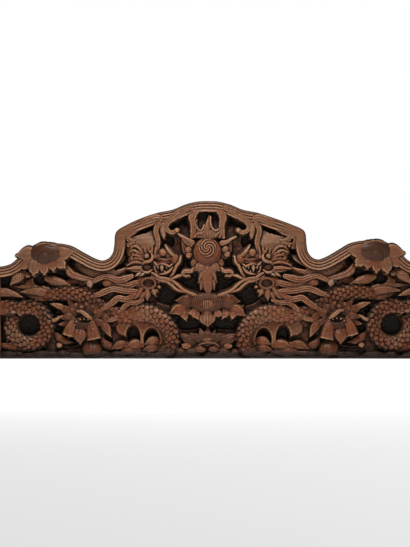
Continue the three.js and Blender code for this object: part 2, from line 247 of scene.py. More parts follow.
class Relief:
    """Heights over the grid, with the tone of the wood: warmth is how red it is."""

    def __init__(self, low):
        self.height = np.full((ROWS, COLUMNS), float(low))
        self.warmth = np.full((ROWS, COLUMNS), 0.35)

    def raise_to(self, spot, top, warmth):
        here = self.height[spot]
        higher = top > here
        np.copyto(here, top, where=higher)
        np.copyto(self.warmth[spot], warmth, where=higher)

    def ridge(self, path, side, sizes, arch=0.5, shape=round_top, wall=WALL, warmth=0.4, detail=None):
        """A form that follows a path, with its half width taken from the list of sizes."""
        stroke = Stroke(path, side, max(sizes) + WALL_REACH)
        half = stroke.half(sizes)
        u = np.clip(stroke.across / half, -1, 1)
        top = stroke.base + half * 2 * arch * shape(u)
        if detail is not None:
            top = top + detail(u, half)
        self.raise_to(stroke.window, top - np.maximum(np.abs(stroke.across) - half, 0) * wall, warmth)

    def petal(self, path, side, width, rise=4, arch=0.25, ribs=0, rim=0.0, crease=1.2, warmth=0.7,
              blunt=False, square=False, fan=0.0):
        """A petal or leaf along a path from its base to its tip, creased along its vein."""
        stroke = Stroke(path, side, width / 2 + WALL_REACH)
        along = np.clip(stroke.share, 0, 1)
        swell = np.sin(np.pi * (0.25 + 0.75 * along))
        if blunt:
            swell = np.sqrt(np.clip(1 - ((along - 0.45) / 0.56) ** 2, 0.0, 1))
        if square:
            swell = np.where(along > 0.995, 0, 0.5 + 0.5 * along**0.7)
        half = np.maximum(swell * width / 2, 0.5)
        off = np.abs(stroke.across)
        u = np.clip(stroke.across / half, -1, 1)
        fine = np.minimum(1, half / FULL_RIBS)
        top = stroke.base + rise * np.sin(np.pi * along) + half * 2 * arch * soft_top(u)
        top = top - crease * np.exp(-((stroke.across / VEIN_HALF) ** 2)) * (along < 0.93)
        if ribs:
            top = top + RIB_DEEP * np.cos(np.pi * ribs * u) * fine
        if fan:
            top = top + FAN_DEEP * np.sin((stroke.along - 0.9 * off) * 2 * np.pi / fan) * fine
        if rim:
            top = top + rim * smoothstep(0.6, 0.9, np.abs(u))
        self.raise_to(stroke.window, top - np.maximum(off - half, 0) * WALL, warmth)

    def dome(self, centre, radii, side, power=0.5, warmth=0.6, wall=WALL, detail=None):
        """A rounded mass; detail gets each cell's place from the middle and how far out it lies."""
        spot, dx, dz, out = around(centre, radii, side, MARGIN)
        top = centre[2] + radii[2] * np.clip(1 - out * out, 0, 1) ** power
        if detail is not None:
            top = top + detail(dx, dz, out)
        self.raise_to(spot, top - np.maximum(out - 1, 0) * min(radii[:2]) * wall, warmth)

    def ridges(self, forms, side, **finish):
        """Ridges, each given as [path, half widths, redness]."""
        for path, sizes, tone in forms:
            self.ridge(path, side, sizes, warmth=tone, **finish)

    def petals(self, forms, side, **finish):
        """Petals, each given as [path, width, redness]."""
        for path, width, tone in forms:
            self.petal(path, side, width, warmth=tone, **finish)

    def domes(self, forms, side, **finish):
        """Domes, each given as [centre, radii, redness]."""
        for centre, radii, tone in forms:
            self.dome(centre, radii, side, warmth=tone, **finish)

    def cut(self, path, side, sizes, depth):
        """A groove or hollow along a path."""
        stroke = Stroke(path, side, max(sizes) + 2)
        self.height[stroke.window] -= depth * soft_top(np.clip(stroke.across / stroke.half(sizes), -1, 1))

    def sink(self, centre, radii, floor, side):
        """A hollow with steep sides down to a floor."""
        spot, _, _, out = around(centre, radii, side, MARGIN)
        here = self.height[spot]
        np.minimum(here, floor + np.maximum(out - SINK_FLAT, 0) * min(radii) * WALL, out=here)

    def tint(self, centre, radii, side, warmth):
        """Give the wood another redness inside an ellipse."""
        spot, _, _, out = around(centre, radii, side)
        here = self.warmth[spot]
        here += (warmth - here) * (1 - smoothstep(0.8, 1.0, out))

    def deepen(self, centre, radii, side, amount):
        """Make the wood redder or darker by an amount, fading towards an ellipse's edge."""
        spot, _, _, out = around(centre, radii, side)
        self.warmth[spot] += amount * (1 - smoothstep(0.6, 1.0, out))


def inside(outline):
    """The cells inside a closed outline."""
    outline = np.asarray(outline, float)[:, :2]
    after = np.roll(outline, -1, axis=0)
    mask = np.zeros((ROWS, COLUMNS), bool)
    for row, z in enumerate(GRID_Z):
        z = z + 1e-4
        crosses = (outline[:, 1] > z) != (after[:, 1] > z)
        a, b = outline[crosses], after[crosses]
        at = np.sort(a[:, 0] + (z - a[:, 1]) / (b[:, 1] - a[:, 1]) * (b[:, 0] - a[:, 0]))
        for start, stop in zip(at[0::2], at[1::2]):
            mask[row] |= (GRID_X >= start) & (GRID_X <= stop)
    return mask


def flood(seed, allowed):
    """The allowed cells that the seed reaches through allowed cells."""
    reached = seed & allowed
    before = -1
    while reached.sum() != before:
        before = reached.sum()
        for grid, free in ((reached, allowed), (reached[::-1], allowed[::-1]),
                           (reached.T, allowed.T), (reached.T[::-1], allowed.T[::-1])):
            for i in range(1, len(grid)):
                grid[i] |= grid[i - 1] & free[i]
    return reached


def whole_cells(mask):
    """The grid's cells inside a mask, with holes and corners that only touch filled in."""
    cells = mask[:-1, :-1] & mask[1:, :-1] & mask[:-1, 1:] & mask[1:, 1:]
    padded = np.pad(cells, 1)
    edge = np.ones_like(padded)
    edge[1:-1, 1:-1] = False
    cells = ~flood(edge, ~padded)[1:-1, 1:-1]
    touching = True
    while touching:
        a, b, c, d = cells[:-1, :-1], cells[:-1, 1:], cells[1:, :-1], cells[1:, 1:]
        pinch = (a & d & ~b & ~c) | (b & c & ~a & ~d)
        touching = pinch.any()
        for corner in (a, b, c, d):
            corner |= pinch
    return cells


def blur(field, radius):
    """A soft blur by three passes of a running mean."""
    out = field.astype(float)
    size = max(1, int(round(radius / CELL)))
    for _ in range(3):
        for axis in (0, 1):
            pad = [(0, 0), (0, 0)]
            pad[axis] = (size + 1, size)
            total = np.cumsum(np.pad(out, pad, mode="edge"), axis=axis)
            span = 2 * size + 1
            high = np.take(total, range(span, total.shape[axis]), axis=axis)
            low = np.take(total, range(0, total.shape[axis] - span), axis=axis)
            out = (high - low) / span
    return out


def soften(field, share):
    """A light smoothing that takes the edge off the steps between neighbouring cells."""
    out = field.copy()
    middle = field[1:-1, 1:-1]
    near = (field[:-2, 1:-1] + field[2:, 1:-1] + field[1:-1, :-2] + field[1:-1, 2:]) / 4
    out[1:-1, 1:-1] = middle * (1 - share) + near * share
    return out


def grain_noise(seed, size, stretch=1.0):
    """Smooth seeded noise from about -1 to 1, with lumps of a size in millimetres."""
    random = np.random.default_rng(seed)
    rows = int(ROWS / size) + 4
    columns = int(COLUMNS / (size * stretch)) + 4
    coarse = random.uniform(-1, 1, (rows, columns))
    at_row = np.arange(ROWS) / size
    at_column = np.arange(COLUMNS) / (size * stretch)
    r0 = at_row.astype(int)
    c0 = at_column.astype(int)
    fr = smoothstep(0, 1, at_row - r0)[:, None]
    fc = smoothstep(0, 1, at_column - c0)[None, :]
    top = coarse[r0][:, c0] * (1 - fc) + coarse[r0][:, c0 + 1] * fc
    low = coarse[r0 + 1][:, c0] * (1 - fc) + coarse[r0 + 1][:, c0 + 1] * fc
    return top * (1 - fr) + low * fr


field = Relief(UNDERGROWTH)


def outline_path():
    """The outline of the whole crest, from the left end over the hump to the right end."""
    left = place(WING_EDGE[::-1] + HUMP_EDGE[:0:-1], LEFT)
    right = place(HUMP_EDGE[1:] + WING_EDGE, RIGHT)
    return smooth_path(np.vstack([left, [HUMP_EDGE[0]], right]))


OUTLINE = outline_path()
INWARD = np.stack([directions(OUTLINE)[:, 1], -directions(OUTLINE)[:, 0]], axis=1)

# Low leaves that fill the ground, and the deep gaps between the carved forms
LEAVES = 62
LEAF_AREA = [[-515, 14], [-110, 205]]
LEAF_LENGTHS = [24, 42]
LEAF_WIDTHS = [13, 19]
LEAF_HEIGHTS = [22, 27]
LEAF_TONES = [0.6, 1.25]
LEAF_LEAN = 0.6  # how much less leaves rise than they spread
GROUND_WARMTH = 0.8  # more than the common redness
PITS = [  # [x, z, half width, half height]
    [-101, 158, 33, 24], [-78, 140, 22, 16], [-43, 184, 29, 22], [-58, 238, 17, 16], [-54, 87, 34, 14],
    [-371, 211, 22, 16], [-340, 244, 12, 13], [-373, 70, 12, 13], [-347, 43, 20, 11], [-254, 36, 12, 22],
    [-512, 193, 16, 11], [-412, 198, 11, 14], [-518, 58, 9, 30], [-394, 118, 9, 7], [-205, 267, 11, 20],
    [-101, 292, 13, 15], [-70, 342, 17, 10], [-231, 135, 13, 8], [-274, 184, 10, 6],
    [-92, 30, 7, 22], [-150, 334, 26, 8], [-176, 318, 14, 7], [-470, 34, 13, 7],
]
PIT_SWELL = 1.25
LOBE = [[-122, 340, 28], [-146, 320, 36], [-162, 294, 43], [-162, 266, 42]]
SWOOP = [[-212, 236, 36], [-240, 220, 38], [-272, 214, 37], [-304, 222, 33], [-326, 238, 30]]
INNER_PANEL = [[-62, 300, 27], [-70, 318, 25]]
TOP_PANEL = [[-26, 372, 22], [-24, 350, 27], [-22, 328, 33]]


def undergrowth():
    random = np.random.default_rng(7)
    field.height += 1.2 * grain_noise(2, 9) + 0.7 * grain_noise(4, 4)
    field.warmth += GROUND_WARMTH
    low, high = np.array(LEAF_AREA)
    for _ in range(LEAVES):
        x, z = random.uniform(low, high)
        angle = random.uniform(0, 2 * math.pi)
        length = random.uniform(*LEAF_LENGTHS)
        base = random.uniform(*LEAF_HEIGHTS)
        tip = [x + length * math.cos(angle), z + LEAF_LEAN * length * math.sin(angle), base + 2]
        tone = random.uniform(*LEAF_TONES)
        for side in SIDES:
            width = random.uniform(*LEAF_WIDTHS)
            field.petal([[x, z, base], tip], side, width, rise=3, ribs=2, rim=0.8, warmth=tone)
    for side in SIDES:
        for x, z, wide, tall in PITS:
            field.sink([x, z], [wide * PIT_SWELL, tall * PIT_SWELL], GROUND, side)


# Smooth grounds, and the shoulder where the border's two runs meet
SHOULDER = [[-213, 292, 46], [-208, 304, 49], [-201, 314, 50], [-188, 322, 49]]
SHOULDER_CURL = [
    [-180, 322, 47], [-192, 313, 47], [-202, 304, 47], [-201, 296, 46], [-193, 291, 46], [-185, 295, 46],
]
HOLLOWS = [  # the shaded places just under the border, each [path, half widths, depth]
    [[[-194, 304, 0], [-180, 314, 0], [-161, 324, 0], [-142, 332, 0]], [2, 8, 12, 9], 26],
    [[[-207, 296, 0], [-200, 280, 0], [-198, 258, 0], [-209, 238, 0], [-233, 224, 0]], [3, 9, 10, 9, 4], 24],
    [[[-282, 234, 0], [-304, 240, 0], [-330, 254, 0]], [3, 6, 9], 18],
]


def raised_grounds(side):
    field.ridge(LOBE, side, [20, 26, 28, 20], arch=0.04, shape=soft_top, wall=0.9, warmth=-0.18)
    field.ridge(SWOOP, side, [12, 14, 13, 12, 7], arch=0.12, shape=soft_top, wall=0.9, warmth=0.25)
    field.ridge(INNER_PANEL, side, [14, 13], arch=0, wall=0.8, warmth=0.6)
    field.ridge(TOP_PANEL, side, [18, 18, 16], arch=0, wall=0.8, warmth=0.5)
    field.ridge(SHOULDER, side, [3, 7, 8, 4], arch=0.1, shape=soft_top, wall=0.5, warmth=0.1)
    for path, sizes, depth in HOLLOWS:
        field.cut(path, side, sizes, depth)
    field.ridge(SHOULDER_CURL, side, [5, 6, 6, 5, 4, 3], arch=0.35, detail=reeds(2), warmth=0.2)


# The tracery between the hump's border and the pearl
ARM = [
    [-12, 377, 50], [-27, 372, 50], [-38, 363, 50], [-42, 351, 50], [-40, 339, 49], [-38.5, 327, 48],
    [-39.5, 315, 46], [-43, 303, 43],
]
ARM_SIZES = [3, 6, 9, 10, 7.5, 7, 7, 4]
INNER_SCROLL = [
    [-46, 377, 51], [-71, 365, 51], [-89, 353, 51], [-102, 342, 51], [-107, 329, 50], [-102, 319, 49],
    [-90, 315, 48], [-81, 320, 48],
]
INNER_SIZES = [7, 9, 10, 10, 8, 6, 4.5, 4.5]
OUTER_SCROLL = [
    [-166, 339, 50], [-146, 346, 51], [-128, 351, 52], [-120, 347, 52], [-123, 338, 51], [-130, 328, 50],
    [-132, 315, 49], [-129, 303, 48], [-127, 288, 46], [-131, 262, 44],
]
OUTER_SIZES = [10, 11, 11, 9, 7.5, 6.5, 6.5, 6, 5, 4]
WEDGE = [[-111, 343, 48], [-115, 323, 49], [-113, 302, 47]]
SCROLL_KNOB = [[-80, 320, 48], [5, 5, 6]]
NOTCH = [[-104, 362, 0], [-110, 350, 0], [-118, 338, 0]]


def tracery(side):
    bands = reeds(3)
    field.ridge(OUTER_SCROLL, side, OUTER_SIZES, arch=0.2, detail=bands, warmth=0.12)
    field.petal(WEDGE, side, 13, rise=0, crease=0, blunt=True, warmth=-0.2)
    field.ridge(INNER_SCROLL, side, INNER_SIZES, arch=0.22, detail=bands, warmth=0.15)
    field.ridge(ARM, side, ARM_SIZES, arch=0.2, detail=bands, warmth=0.12)
    field.dome(*SCROLL_KNOB, side, warmth=0.2)
    field.cut(NOTCH, side, [1.2, 1.8, 1.4], 6)


# The pearl in its flames, and the leaf that hangs from it
CROWN = [[-43, 304, 40], [-28, 311, 43], [-12, 310, 44], [5, 310, 44], [20, 312, 43], [35, 304, 40]]
TOP_FLAME = [[-3, 304, 42], [-5, 320, 44], [-3, 334, 43], [-0.5, 346, 42], [0.5, 357, 41]]
FLAME_LOOP = [
    [3.5, 354, 44], [3.5, 338, 45], [6, 328, 45], [12, 321, 45], [19, 320, 45], [26, 324, 45], [31, 333, 46],
    [36, 346, 47],
]
FLAME_HOOK = [[-31, 346, 46], [-33, 337, 46], [-29, 325, 45], [-22, 319, 44], [-16, 323, 44], [-12, 334, 43]]
CROWN_LINES = [
    [[-36, 304, 45], [-29, 312, 45], [-20, 312, 45], [-13, 318, 45]],
    [[26, 303, 45], [31, 315, 45], [34, 326, 46]],
    [[14, 305, 45], [22, 312, 45], [28, 320, 45]],
]
FLAME_FOOT = [[AXIS - 1, 268, 30], [46, 36, 10]]
SIDE_FLAMES = [  # each is [path, half widths, redness]
    [[[-48, 256, 33], [-57, 271, 33], [-62, 285, 34], [-68, 297, 35]], [8, 11, 8, 2], 1.3],
    [[[-42, 290, 43], [-56, 298, 43], [-70, 307, 43], [-82, 316, 45]], [7, 4.5, 3, 1.2], 0.2],
    [[[-44, 282, 42], [-56, 288, 42], [-66, 298, 41]], [4, 3, 1.5], 0.4],
    [[[40, 256, 33], [48, 270, 33], [51, 282, 34], [55, 293, 35]], [8, 10, 7, 2], 1.3],
    [[[33, 288, 43], [46, 292, 43], [56, 299, 43], [67, 304, 43]], [7, 4.5, 3, 1.2], 0.3],
]
SIDE_CURLS = [[-51.5, 271.5, 40, 8.5], [-50, 258.5, 40, 7.5], [40.5, 273, 40, 8.5], [45, 261, 40, 7.5]]
PEARL = [[-4.5, 266.5, 42], [34.5, 34.5, 18]]
SWIRL_RADIUS = 23.5
SWIRL_MIDDLE = [0.8, 9.5]  # from the pearl's middle
SWIRL_PITCH = 7.2
SWIRL_ARMS = 4
SWIRL_DEEP = 2.4
# The pearl's upper face is painted paler than its dark wood, whose darkness is painted shade on its lower
# half
SWIRL_PAINTED_LIGHT = [[-3.7, 276], [SWIRL_RADIUS, SWIRL_RADIUS]]
SWIRL_PAINTED_LIGHT_WARMTH = 0.55
SKIRT = [[-4.5, 238, 35], [41, 24, 11]]
LEAF_LOBES = [  # each is [path, width, redness]
    [[[-16, 238, 41], [-26, 228, 45], [-36, 219, 42]], 20, 0.05],
    [[[-12, 236, 42], [-18, 226, 46], [-25, 212, 43]], 19, 0.05],
    [[[7, 238, 41], [17, 228, 45], [27, 219, 42]], 20, 0.05],
    [[[3, 236, 42], [9, 226, 46], [16, 212, 43]], 19, 0.05],
    [[[-7, 226, 43], [-13, 210, 45], [-25, 190, 42]], 21, 0.1],
    [[[-1, 226, 43], [6, 210, 45], [18, 191, 42]], 21, 0.15],
    [[[-6, 206, 44], [-12, 192, 45], [-21, 172, 41]], 20, 0.6],
    [[[-2, 206, 44], [5, 192, 45], [13, 172, 41]], 20, 0.6],
    [[[-4, 232, 44], [-4, 200, 48], [-0.5, 149, 42]], 28, 0.3],
]
VOLUTE = [
    [-36, 228, 40], [-40, 223, 43], [-44, 219, 45], [-50, 218, 46], [-60, 218, 45], [-65, 213, 43],
    [-60, 208, 43], [-50, 208, 43],
]


def whirl_lines(dx, dz, out):
    """Two whirls cut in a small knob."""
    return 0.9 * np.sin(2 * np.arctan2(dz, dx) + out * 8) * (1 - smoothstep(0.85, 1.0, out))


def ribbed(count, depth):
    """Ribs that spread from a point above the middle of a mass."""
    def detail(dx, dz, out):
        return depth * np.cos(np.arctan2(dz - 30, dx) * count) * (1 - smoothstep(0.9, 1.0, out))
    return detail


def pearl_face(dx, dz, out):
    """The whirl cut in the pearl's upper part, with a groove round it."""
    across, up = dx - SWIRL_MIDDLE[0], dz - SWIRL_MIDDLE[1]
    reach = np.hypot(across, up)
    arms = SWIRL_ARMS * np.arctan2(up, across) + 2 * np.pi * reach / SWIRL_PITCH
    within = 1 - smoothstep(SWIRL_RADIUS - 2.5, SWIRL_RADIUS - 1, reach)
    whirl = np.cos(arms) * smoothstep(2, 7, reach) * within
    groove = np.exp(-(((reach - SWIRL_RADIUS) / 1.1) ** 2))
    lower = np.exp(-(((out - 0.86) / 0.03) ** 2)) * smoothstep(0, -10, dz)
    return (SWIRL_DEEP * (whirl - groove) - 1.5 * lower) * (1 - smoothstep(0.93, 1.0, out))


def pearl():
    field.dome(*FLAME_FOOT, ONCE, power=0.35, warmth=0.7, wall=3)
    field.ridges(SIDE_FLAMES, ONCE, arch=0.3, detail=reeds(3, 2.4))
    for x, z, low, radius in SIDE_CURLS:
        field.dome([x, z, low], [radius, radius, 8], ONCE, warmth=0.3, detail=whirl_lines)
    field.ridge(CROWN, ONCE, [5, 9, 11, 11, 9, 5], arch=0.12, warmth=0.2)
    field.ridge(TOP_FLAME, ONCE, [12, 9, 6.5, 4.5, 1.5], arch=0.3, detail=reeds(3, 2.6), warmth=0.2)
    for line in CROWN_LINES:
        field.ridge(line, ONCE, [1.5, 2.6, 2.4, 1.2], arch=0.7, warmth=0.05)
    field.ridge(FLAME_LOOP, ONCE, [1.5, 2.4, 2.6, 2.6, 2.6, 2.6, 2.6, 1.6], arch=0.7, warmth=0.0)
    field.ridge(FLAME_HOOK, ONCE, [1.2, 2.2, 2.6, 2.6, 2.4, 1], arch=0.6, warmth=0.1)
    for side in SIDES:
        field.ridge(VOLUTE, side, [3, 4.5, 5, 5, 4.6, 4.4, 4, 3], arch=0.5, detail=reeds(2), warmth=0.4)
    field.dome(*SKIRT, ONCE, power=0.4, warmth=0.05, detail=ribbed(42, 1.5))
    # Dark wood on the pearl as painted shade on its lower half, with its upper face painted paler
    field.dome(*PEARL, ONCE, warmth=1.3, detail=pearl_face)
    field.tint(*SWIRL_PAINTED_LIGHT, ONCE, SWIRL_PAINTED_LIGHT_WARMTH)
    field.petals(LEAF_LOBES, ONCE, rise=2, ribs=3, rim=0.8, crease=1.8)


# The lotus under the pearl and the flower at its foot; a redness above one is a darker wood
LOTUS_BACK = [  # each is [path, width, redness]
    [[[-38, 141, 38], [-60, 143, 43], [-82, 145, 41]], 38, 1.5],
    [[[28, 143, 38], [52, 143, 44], [76, 143, 42]], 42, 1.45],
    [[[-56, 122, 42], [-78, 122, 47], [-98, 113, 45]], 27, 0.95],
    [[[48, 122, 42], [70, 121, 47], [89, 107, 45]], 27, 1.0],
    [[[54, 124, 42], [70, 128, 44], [84, 130, 41]], 14, 0.7],
]
LOTUS_FRONT = [
    [[[-54, 124, 42], [-63, 110, 46], [-69, 104, 44]], 27, 1.0],
    [[[-33, 122, 45], [-37, 110, 51], [-40, 105, 49]], 34, 0.8],
    [[[20, 122, 45], [22, 110, 51], [23, 105, 49]], 24, 0.75],
    [[[39, 122, 42], [42, 110, 47], [45, 105, 45]], 25, 0.9],
    [[[55, 122, 44], [61, 112, 50], [67, 106, 48]], 23, 1.0],
]
LOTUS_TONGUE = [[-4.5, 112, 47], [-4, 98, 53], [-3, 81, 47]]
LOTUS_BOWL = [[-5, 139, 43], [43, 26, 15]]
LOTUS_HEART = [[-3, 136, 50], [18, 13, 9]]
LOTUS_DISH = [[-3, 137], [21, 15], 52]
TONGUE_TINT = [[-3, 86], [11, 10]]
BASE_BACK = [
    [[[-28, 34, 34], [-52, 48, 42], [-74, 62, 41]], 24, 1.6],
    [[[22, 34, 34], [48, 48, 42], [75, 60, 41]], 26, 1.5],
    [[[-6, 40, 38], [-28, 52, 43], [-46, 62, 42]], 20, 1.6],
    [[[-2, 40, 38], [22, 54, 43], [40, 60, 42]], 20, 1.6],
    [[[-12, 40, 42], [-16, 58, 45], [-22, 74, 42]], 19, 1.5],
    [[[4, 40, 42], [10, 58, 45], [14, 70, 42]], 19, 1.65],
    [[[-4, 40, 44], [-4, 58, 47], [-3, 76, 43]], 22, 1.5],
]
BASE_KNOBS = [  # each is [centre, radii, redness]
    [[-56, 32, 42], [12, 8, 9], 0.5], [[47, 32, 42], [11, 7, 9], 0.5], [[-4, 48, 47], [12, 6, 7], 0.4],
]
BASE_LUMPS = [
    [[-22, 24, 40], [15, 10, 12], 1.0], [[12, 25, 40], [14, 10, 12], 1.15], [[-44, 19, 38], [17, 9, 11], 1.4],
    [[38, 19, 38], [17, 9, 11], 1.4], [[-72, 20, 36], [14, 9, 11], 1.2], [[66, 18, 36], [14, 8, 11], 1.3],
]
BASE_ARCH = [[-26, 34, 48], [-12, 40, 51], [2, 41, 52], [16, 38, 50], [24, 31, 48]]


def bowl_ribs(dx, dz, out):
    """Ribs that run down a bowl and draw together under it."""
    spread = np.sqrt(np.clip(1 - (dz / 25) ** 2, 0.12, 1))
    return 1.7 * np.cos(dx / spread * 1.2) * (1 - smoothstep(0.93, 1.0, out))


def cross_lines(dx, dz, out):
    """Fine grooves across a knob."""
    return 0.9 * np.sin(dz * 0.9 + dx * 0.15) * (1 - smoothstep(0.8, 1.0, out))


def middle_lotus():
    field.petals(LOTUS_BACK, ONCE, rise=2, ribs=3, rim=1.6, crease=1.4)
    field.petals(LOTUS_FRONT, ONCE, rise=2, arch=0.2, ribs=3, rim=1.0, crease=0.6, square=True)
    field.dome(*LOTUS_BOWL, ONCE, warmth=1.5, detail=bowl_ribs)
    field.sink(*LOTUS_DISH, ONCE)
    field.dome(*LOTUS_HEART, ONCE, warmth=0.5, detail=bowl_ribs)
    field.petal(LOTUS_TONGUE, ONCE, 37, rise=1, ribs=4, rim=1, crease=-0.8, warmth=0.3)
    field.tint(*TONGUE_TINT, ONCE, 0.9)
    field.petals(BASE_BACK, ONCE, rise=2, ribs=2, rim=1.8)
    field.domes(BASE_LUMPS, ONCE, detail=cross_lines)
    field.ridge(BASE_ARCH, ONCE, [1.2, 2.4, 2.8, 2.4, 1.2], arch=0.6, warmth=1.3)
    field.domes(BASE_KNOBS, ONCE, power=0.4, detail=cross_lines)


# The dragons
BODY_PATH = [
    [-425, 152, 24], [-400, 158, 32], [-368, 163, 34], [-330, 161, 32], [-290, 146, 26], [-245, 118, 24],
    [-205, 106, 30], [-175, 112, 38], [-145, 111, 41], [-118, 96, 41], [-99, 72, 40], [-93, 46, 38],
    [-102, 20, 34],
]
BODY_SIZES = [10, 15, 17, 17, 16, 16, 20, 22, 22, 21, 20, 19, 18]
RING_CENTRE = [-450, 82]
RING_RADIUS = 45
RING_HOLE = 30
RING_SIZES = [18, 18, 18, 17]
RING_TURN = [118, -215]  # degrees, from its first end to its last
RING_HEIGHTS = [36, 22]
RING_PARTS = 18
LEAVING = [[-548, 120, 32], [-510, 127, 34]]


def ring_path():
    """The tail's coil, which comes in from the end of the rail."""
    points = [list(p) for p in LEAVING]
    for share in np.arange(RING_PARTS + 1) / RING_PARTS:
        angle = math.radians(RING_TURN[0] + (RING_TURN[1] - RING_TURN[0]) * share)
        x = RING_CENTRE[0] + math.cos(angle) * RING_RADIUS
        z = RING_CENTRE[1] + math.sin(angle) * RING_RADIUS
        high = RING_HEIGHTS[0] + (RING_HEIGHTS[1] - RING_HEIGHTS[0]) * float(smoothstep(0, 1, share))
        points.append([x, z, high])
    return points


RING_PATH = ring_path()
TAIL_FIN = [[-395, 160, 36], [-432, 168, 36], [-472, 166, 32]]
SIDE_FINS = [
    [[-402, 172, 34], [-440, 178, 32], [-488, 180, 28]],
    [[-404, 150, 34], [-430, 152, 34], [-458, 160, 30]],
]
EDGE_FIN = [[-545, 166, 32], [-500, 164, 34], [-467, 153, 34]]
WEB = [[-212, 78, 38], [-190, 76, 40], [-166, 68, 41], [-140, 62, 41], [-120, 50, 40]]
ARCHES = [[[-190, 54], [15, 25]], [[-143, 46], [17, 26]]]
CLAWS = [  # each is [path, width, redness]
    [[[-168, 34, 38], [-186, 36, 44], [-208, 26, 40]], 19, 0.9],
    [[[-176, 20, 38], [-202, 18, 43], [-230, 14, 38]], 17, 1.2],
    [[[-206, 34, 36], [-222, 34, 42], [-242, 24, 38]], 18, 1.1],
    [[[-124, 42, 36], [-140, 45, 43], [-160, 36, 40]], 19, 0.7],
    [[[-126, 26, 38], [-146, 26, 44], [-166, 20, 40]], 17, 1.1],
    [[[-88, 26, 40], [-106, 24, 46], [-130, 14, 42]], 24, 1.25],
]
MANE = [  # each is [path, half widths]
    [
        [[-193, 206, 42], [-210, 199, 42], [-228, 196, 40], [-246, 203, 40], [-262, 205, 40], [-278, 199, 40],
         [-292, 192, 38], [-310, 190, 34]],
        [6, 9, 9, 9, 8, 7, 5, 3],
    ],
    [
        [[-170, 166, 44], [-197, 168, 44], [-218, 170, 42], [-238, 174, 42], [-256, 169, 42], [-276, 160, 40],
         [-308, 151, 36]],
        [6, 8, 8, 8, 8, 6, 3],
    ],
    [
        [[-184, 160, 46], [-206, 148, 45], [-226, 151, 44], [-243, 138, 42], [-264, 124, 41], [-280, 118, 40],
         [-296, 116, 38]],
        [6, 8, 8, 8, 7, 5, 3],
    ],
    [
        [[-166, 146, 46], [-182, 139, 46], [-197, 140, 45], [-210, 130, 44], [-221, 112, 43], [-236, 100, 42],
         [-262, 95, 40], [-284, 92, 36]],
        [5, 7, 7, 7, 7, 6, 5, 3],
    ],
    [[[-178, 190, 40], [-205, 182, 38], [-232, 186, 36], [-258, 180, 34]], [8, 10, 9, 3]],
]
MANE_BED = [[-178, 180, 27], [-212, 168, 28], [-250, 152, 27], [-288, 140, 25]]
MANE_LEAF = [[-250, 196, 36], [-256, 178, 36]]
BRANCH = [[-360, 236, 34], [-344, 212, 36], [-322, 203, 36], [-300, 198, 36], [-284, 196, 38]]
BRANCH_TIP = [[-300, 194, 38], [-296, 179, 40]]


def dragon_body(side):
    field.ridge(BODY_PATH, side, BODY_SIZES, warmth=1.0)
    field.ridge(RING_PATH, side, RING_SIZES, warmth=1.0)
    field.sink(RING_CENTRE, [RING_HOLE, RING_HOLE], GROUND, side)
    field.petal(TAIL_FIN, side, 22, rise=3, ribs=3, warmth=0.3)
    for path in SIDE_FINS:
        field.petal(path, side, 14, rise=1, ribs=2, warmth=0.3)
    field.petal(EDGE_FIN, side, 20, rise=2, ribs=2, warmth=0.3)
    field.ridge(WEB, side, [18, 24, 30, 28, 16], arch=0.05, wall=2, warmth=0.55)
    for centre, radii in ARCHES:
        field.sink(centre, radii, GROUND, side)
    field.petals(CLAWS, side, rise=2, ribs=4, rim=1, crease=2)


def mane(side):
    field.ridge(MANE_BED, side, [22, 24, 18, 8], arch=0.05, wall=1.2, warmth=1.3)
    for lock, sizes in MANE:
        field.ridge(lock, side, sizes, arch=0.4, detail=reeds(3, 3.2), warmth=0.35)
    field.petal(MANE_LEAF, side, 27, rise=1, crease=0, blunt=True, warmth=0.65)
    field.ridge(BRANCH, side, [5, 10, 9, 8, 5], arch=0.35, detail=reeds(2, 3), warmth=0.4)
    field.petal(BRANCH_TIP, side, 14, rise=2, blunt=True, crease=0, warmth=-0.4)


ROOT_STEP = 19
ROOT_REACHES = [22, 60]
ROOT_FEET = [5, 12]
ROOT_HEIGHTS = [40, 46]
ROOT_RISES = [-4, 8]
ROOT_WIDTHS = [8, 15]
ROOT_TONES = [1.3, 1.9]


def roots():
    """Knobs and leaves along the foot, which hide most of the lower rail."""
    random = np.random.default_rng(23)
    for x in np.arange(-LENGTH / 2 + 4, LENGTH / 2, ROOT_STEP):
        reach = random.uniform(*ROOT_REACHES) * random.choice([-1, 1])
        low = random.uniform(*ROOT_FEET)
        high = random.uniform(*ROOT_HEIGHTS)
        rise = random.uniform(*ROOT_RISES)
        path = [[x, low, high - 4], [x + reach / 2, low + rise / 2, high], [x + reach, low + rise, high - 6]]
        tone = random.uniform(*ROOT_TONES)
        field.petal(path, ONCE, random.uniform(*ROOT_WIDTHS), rise=1, ribs=2, warmth=tone)


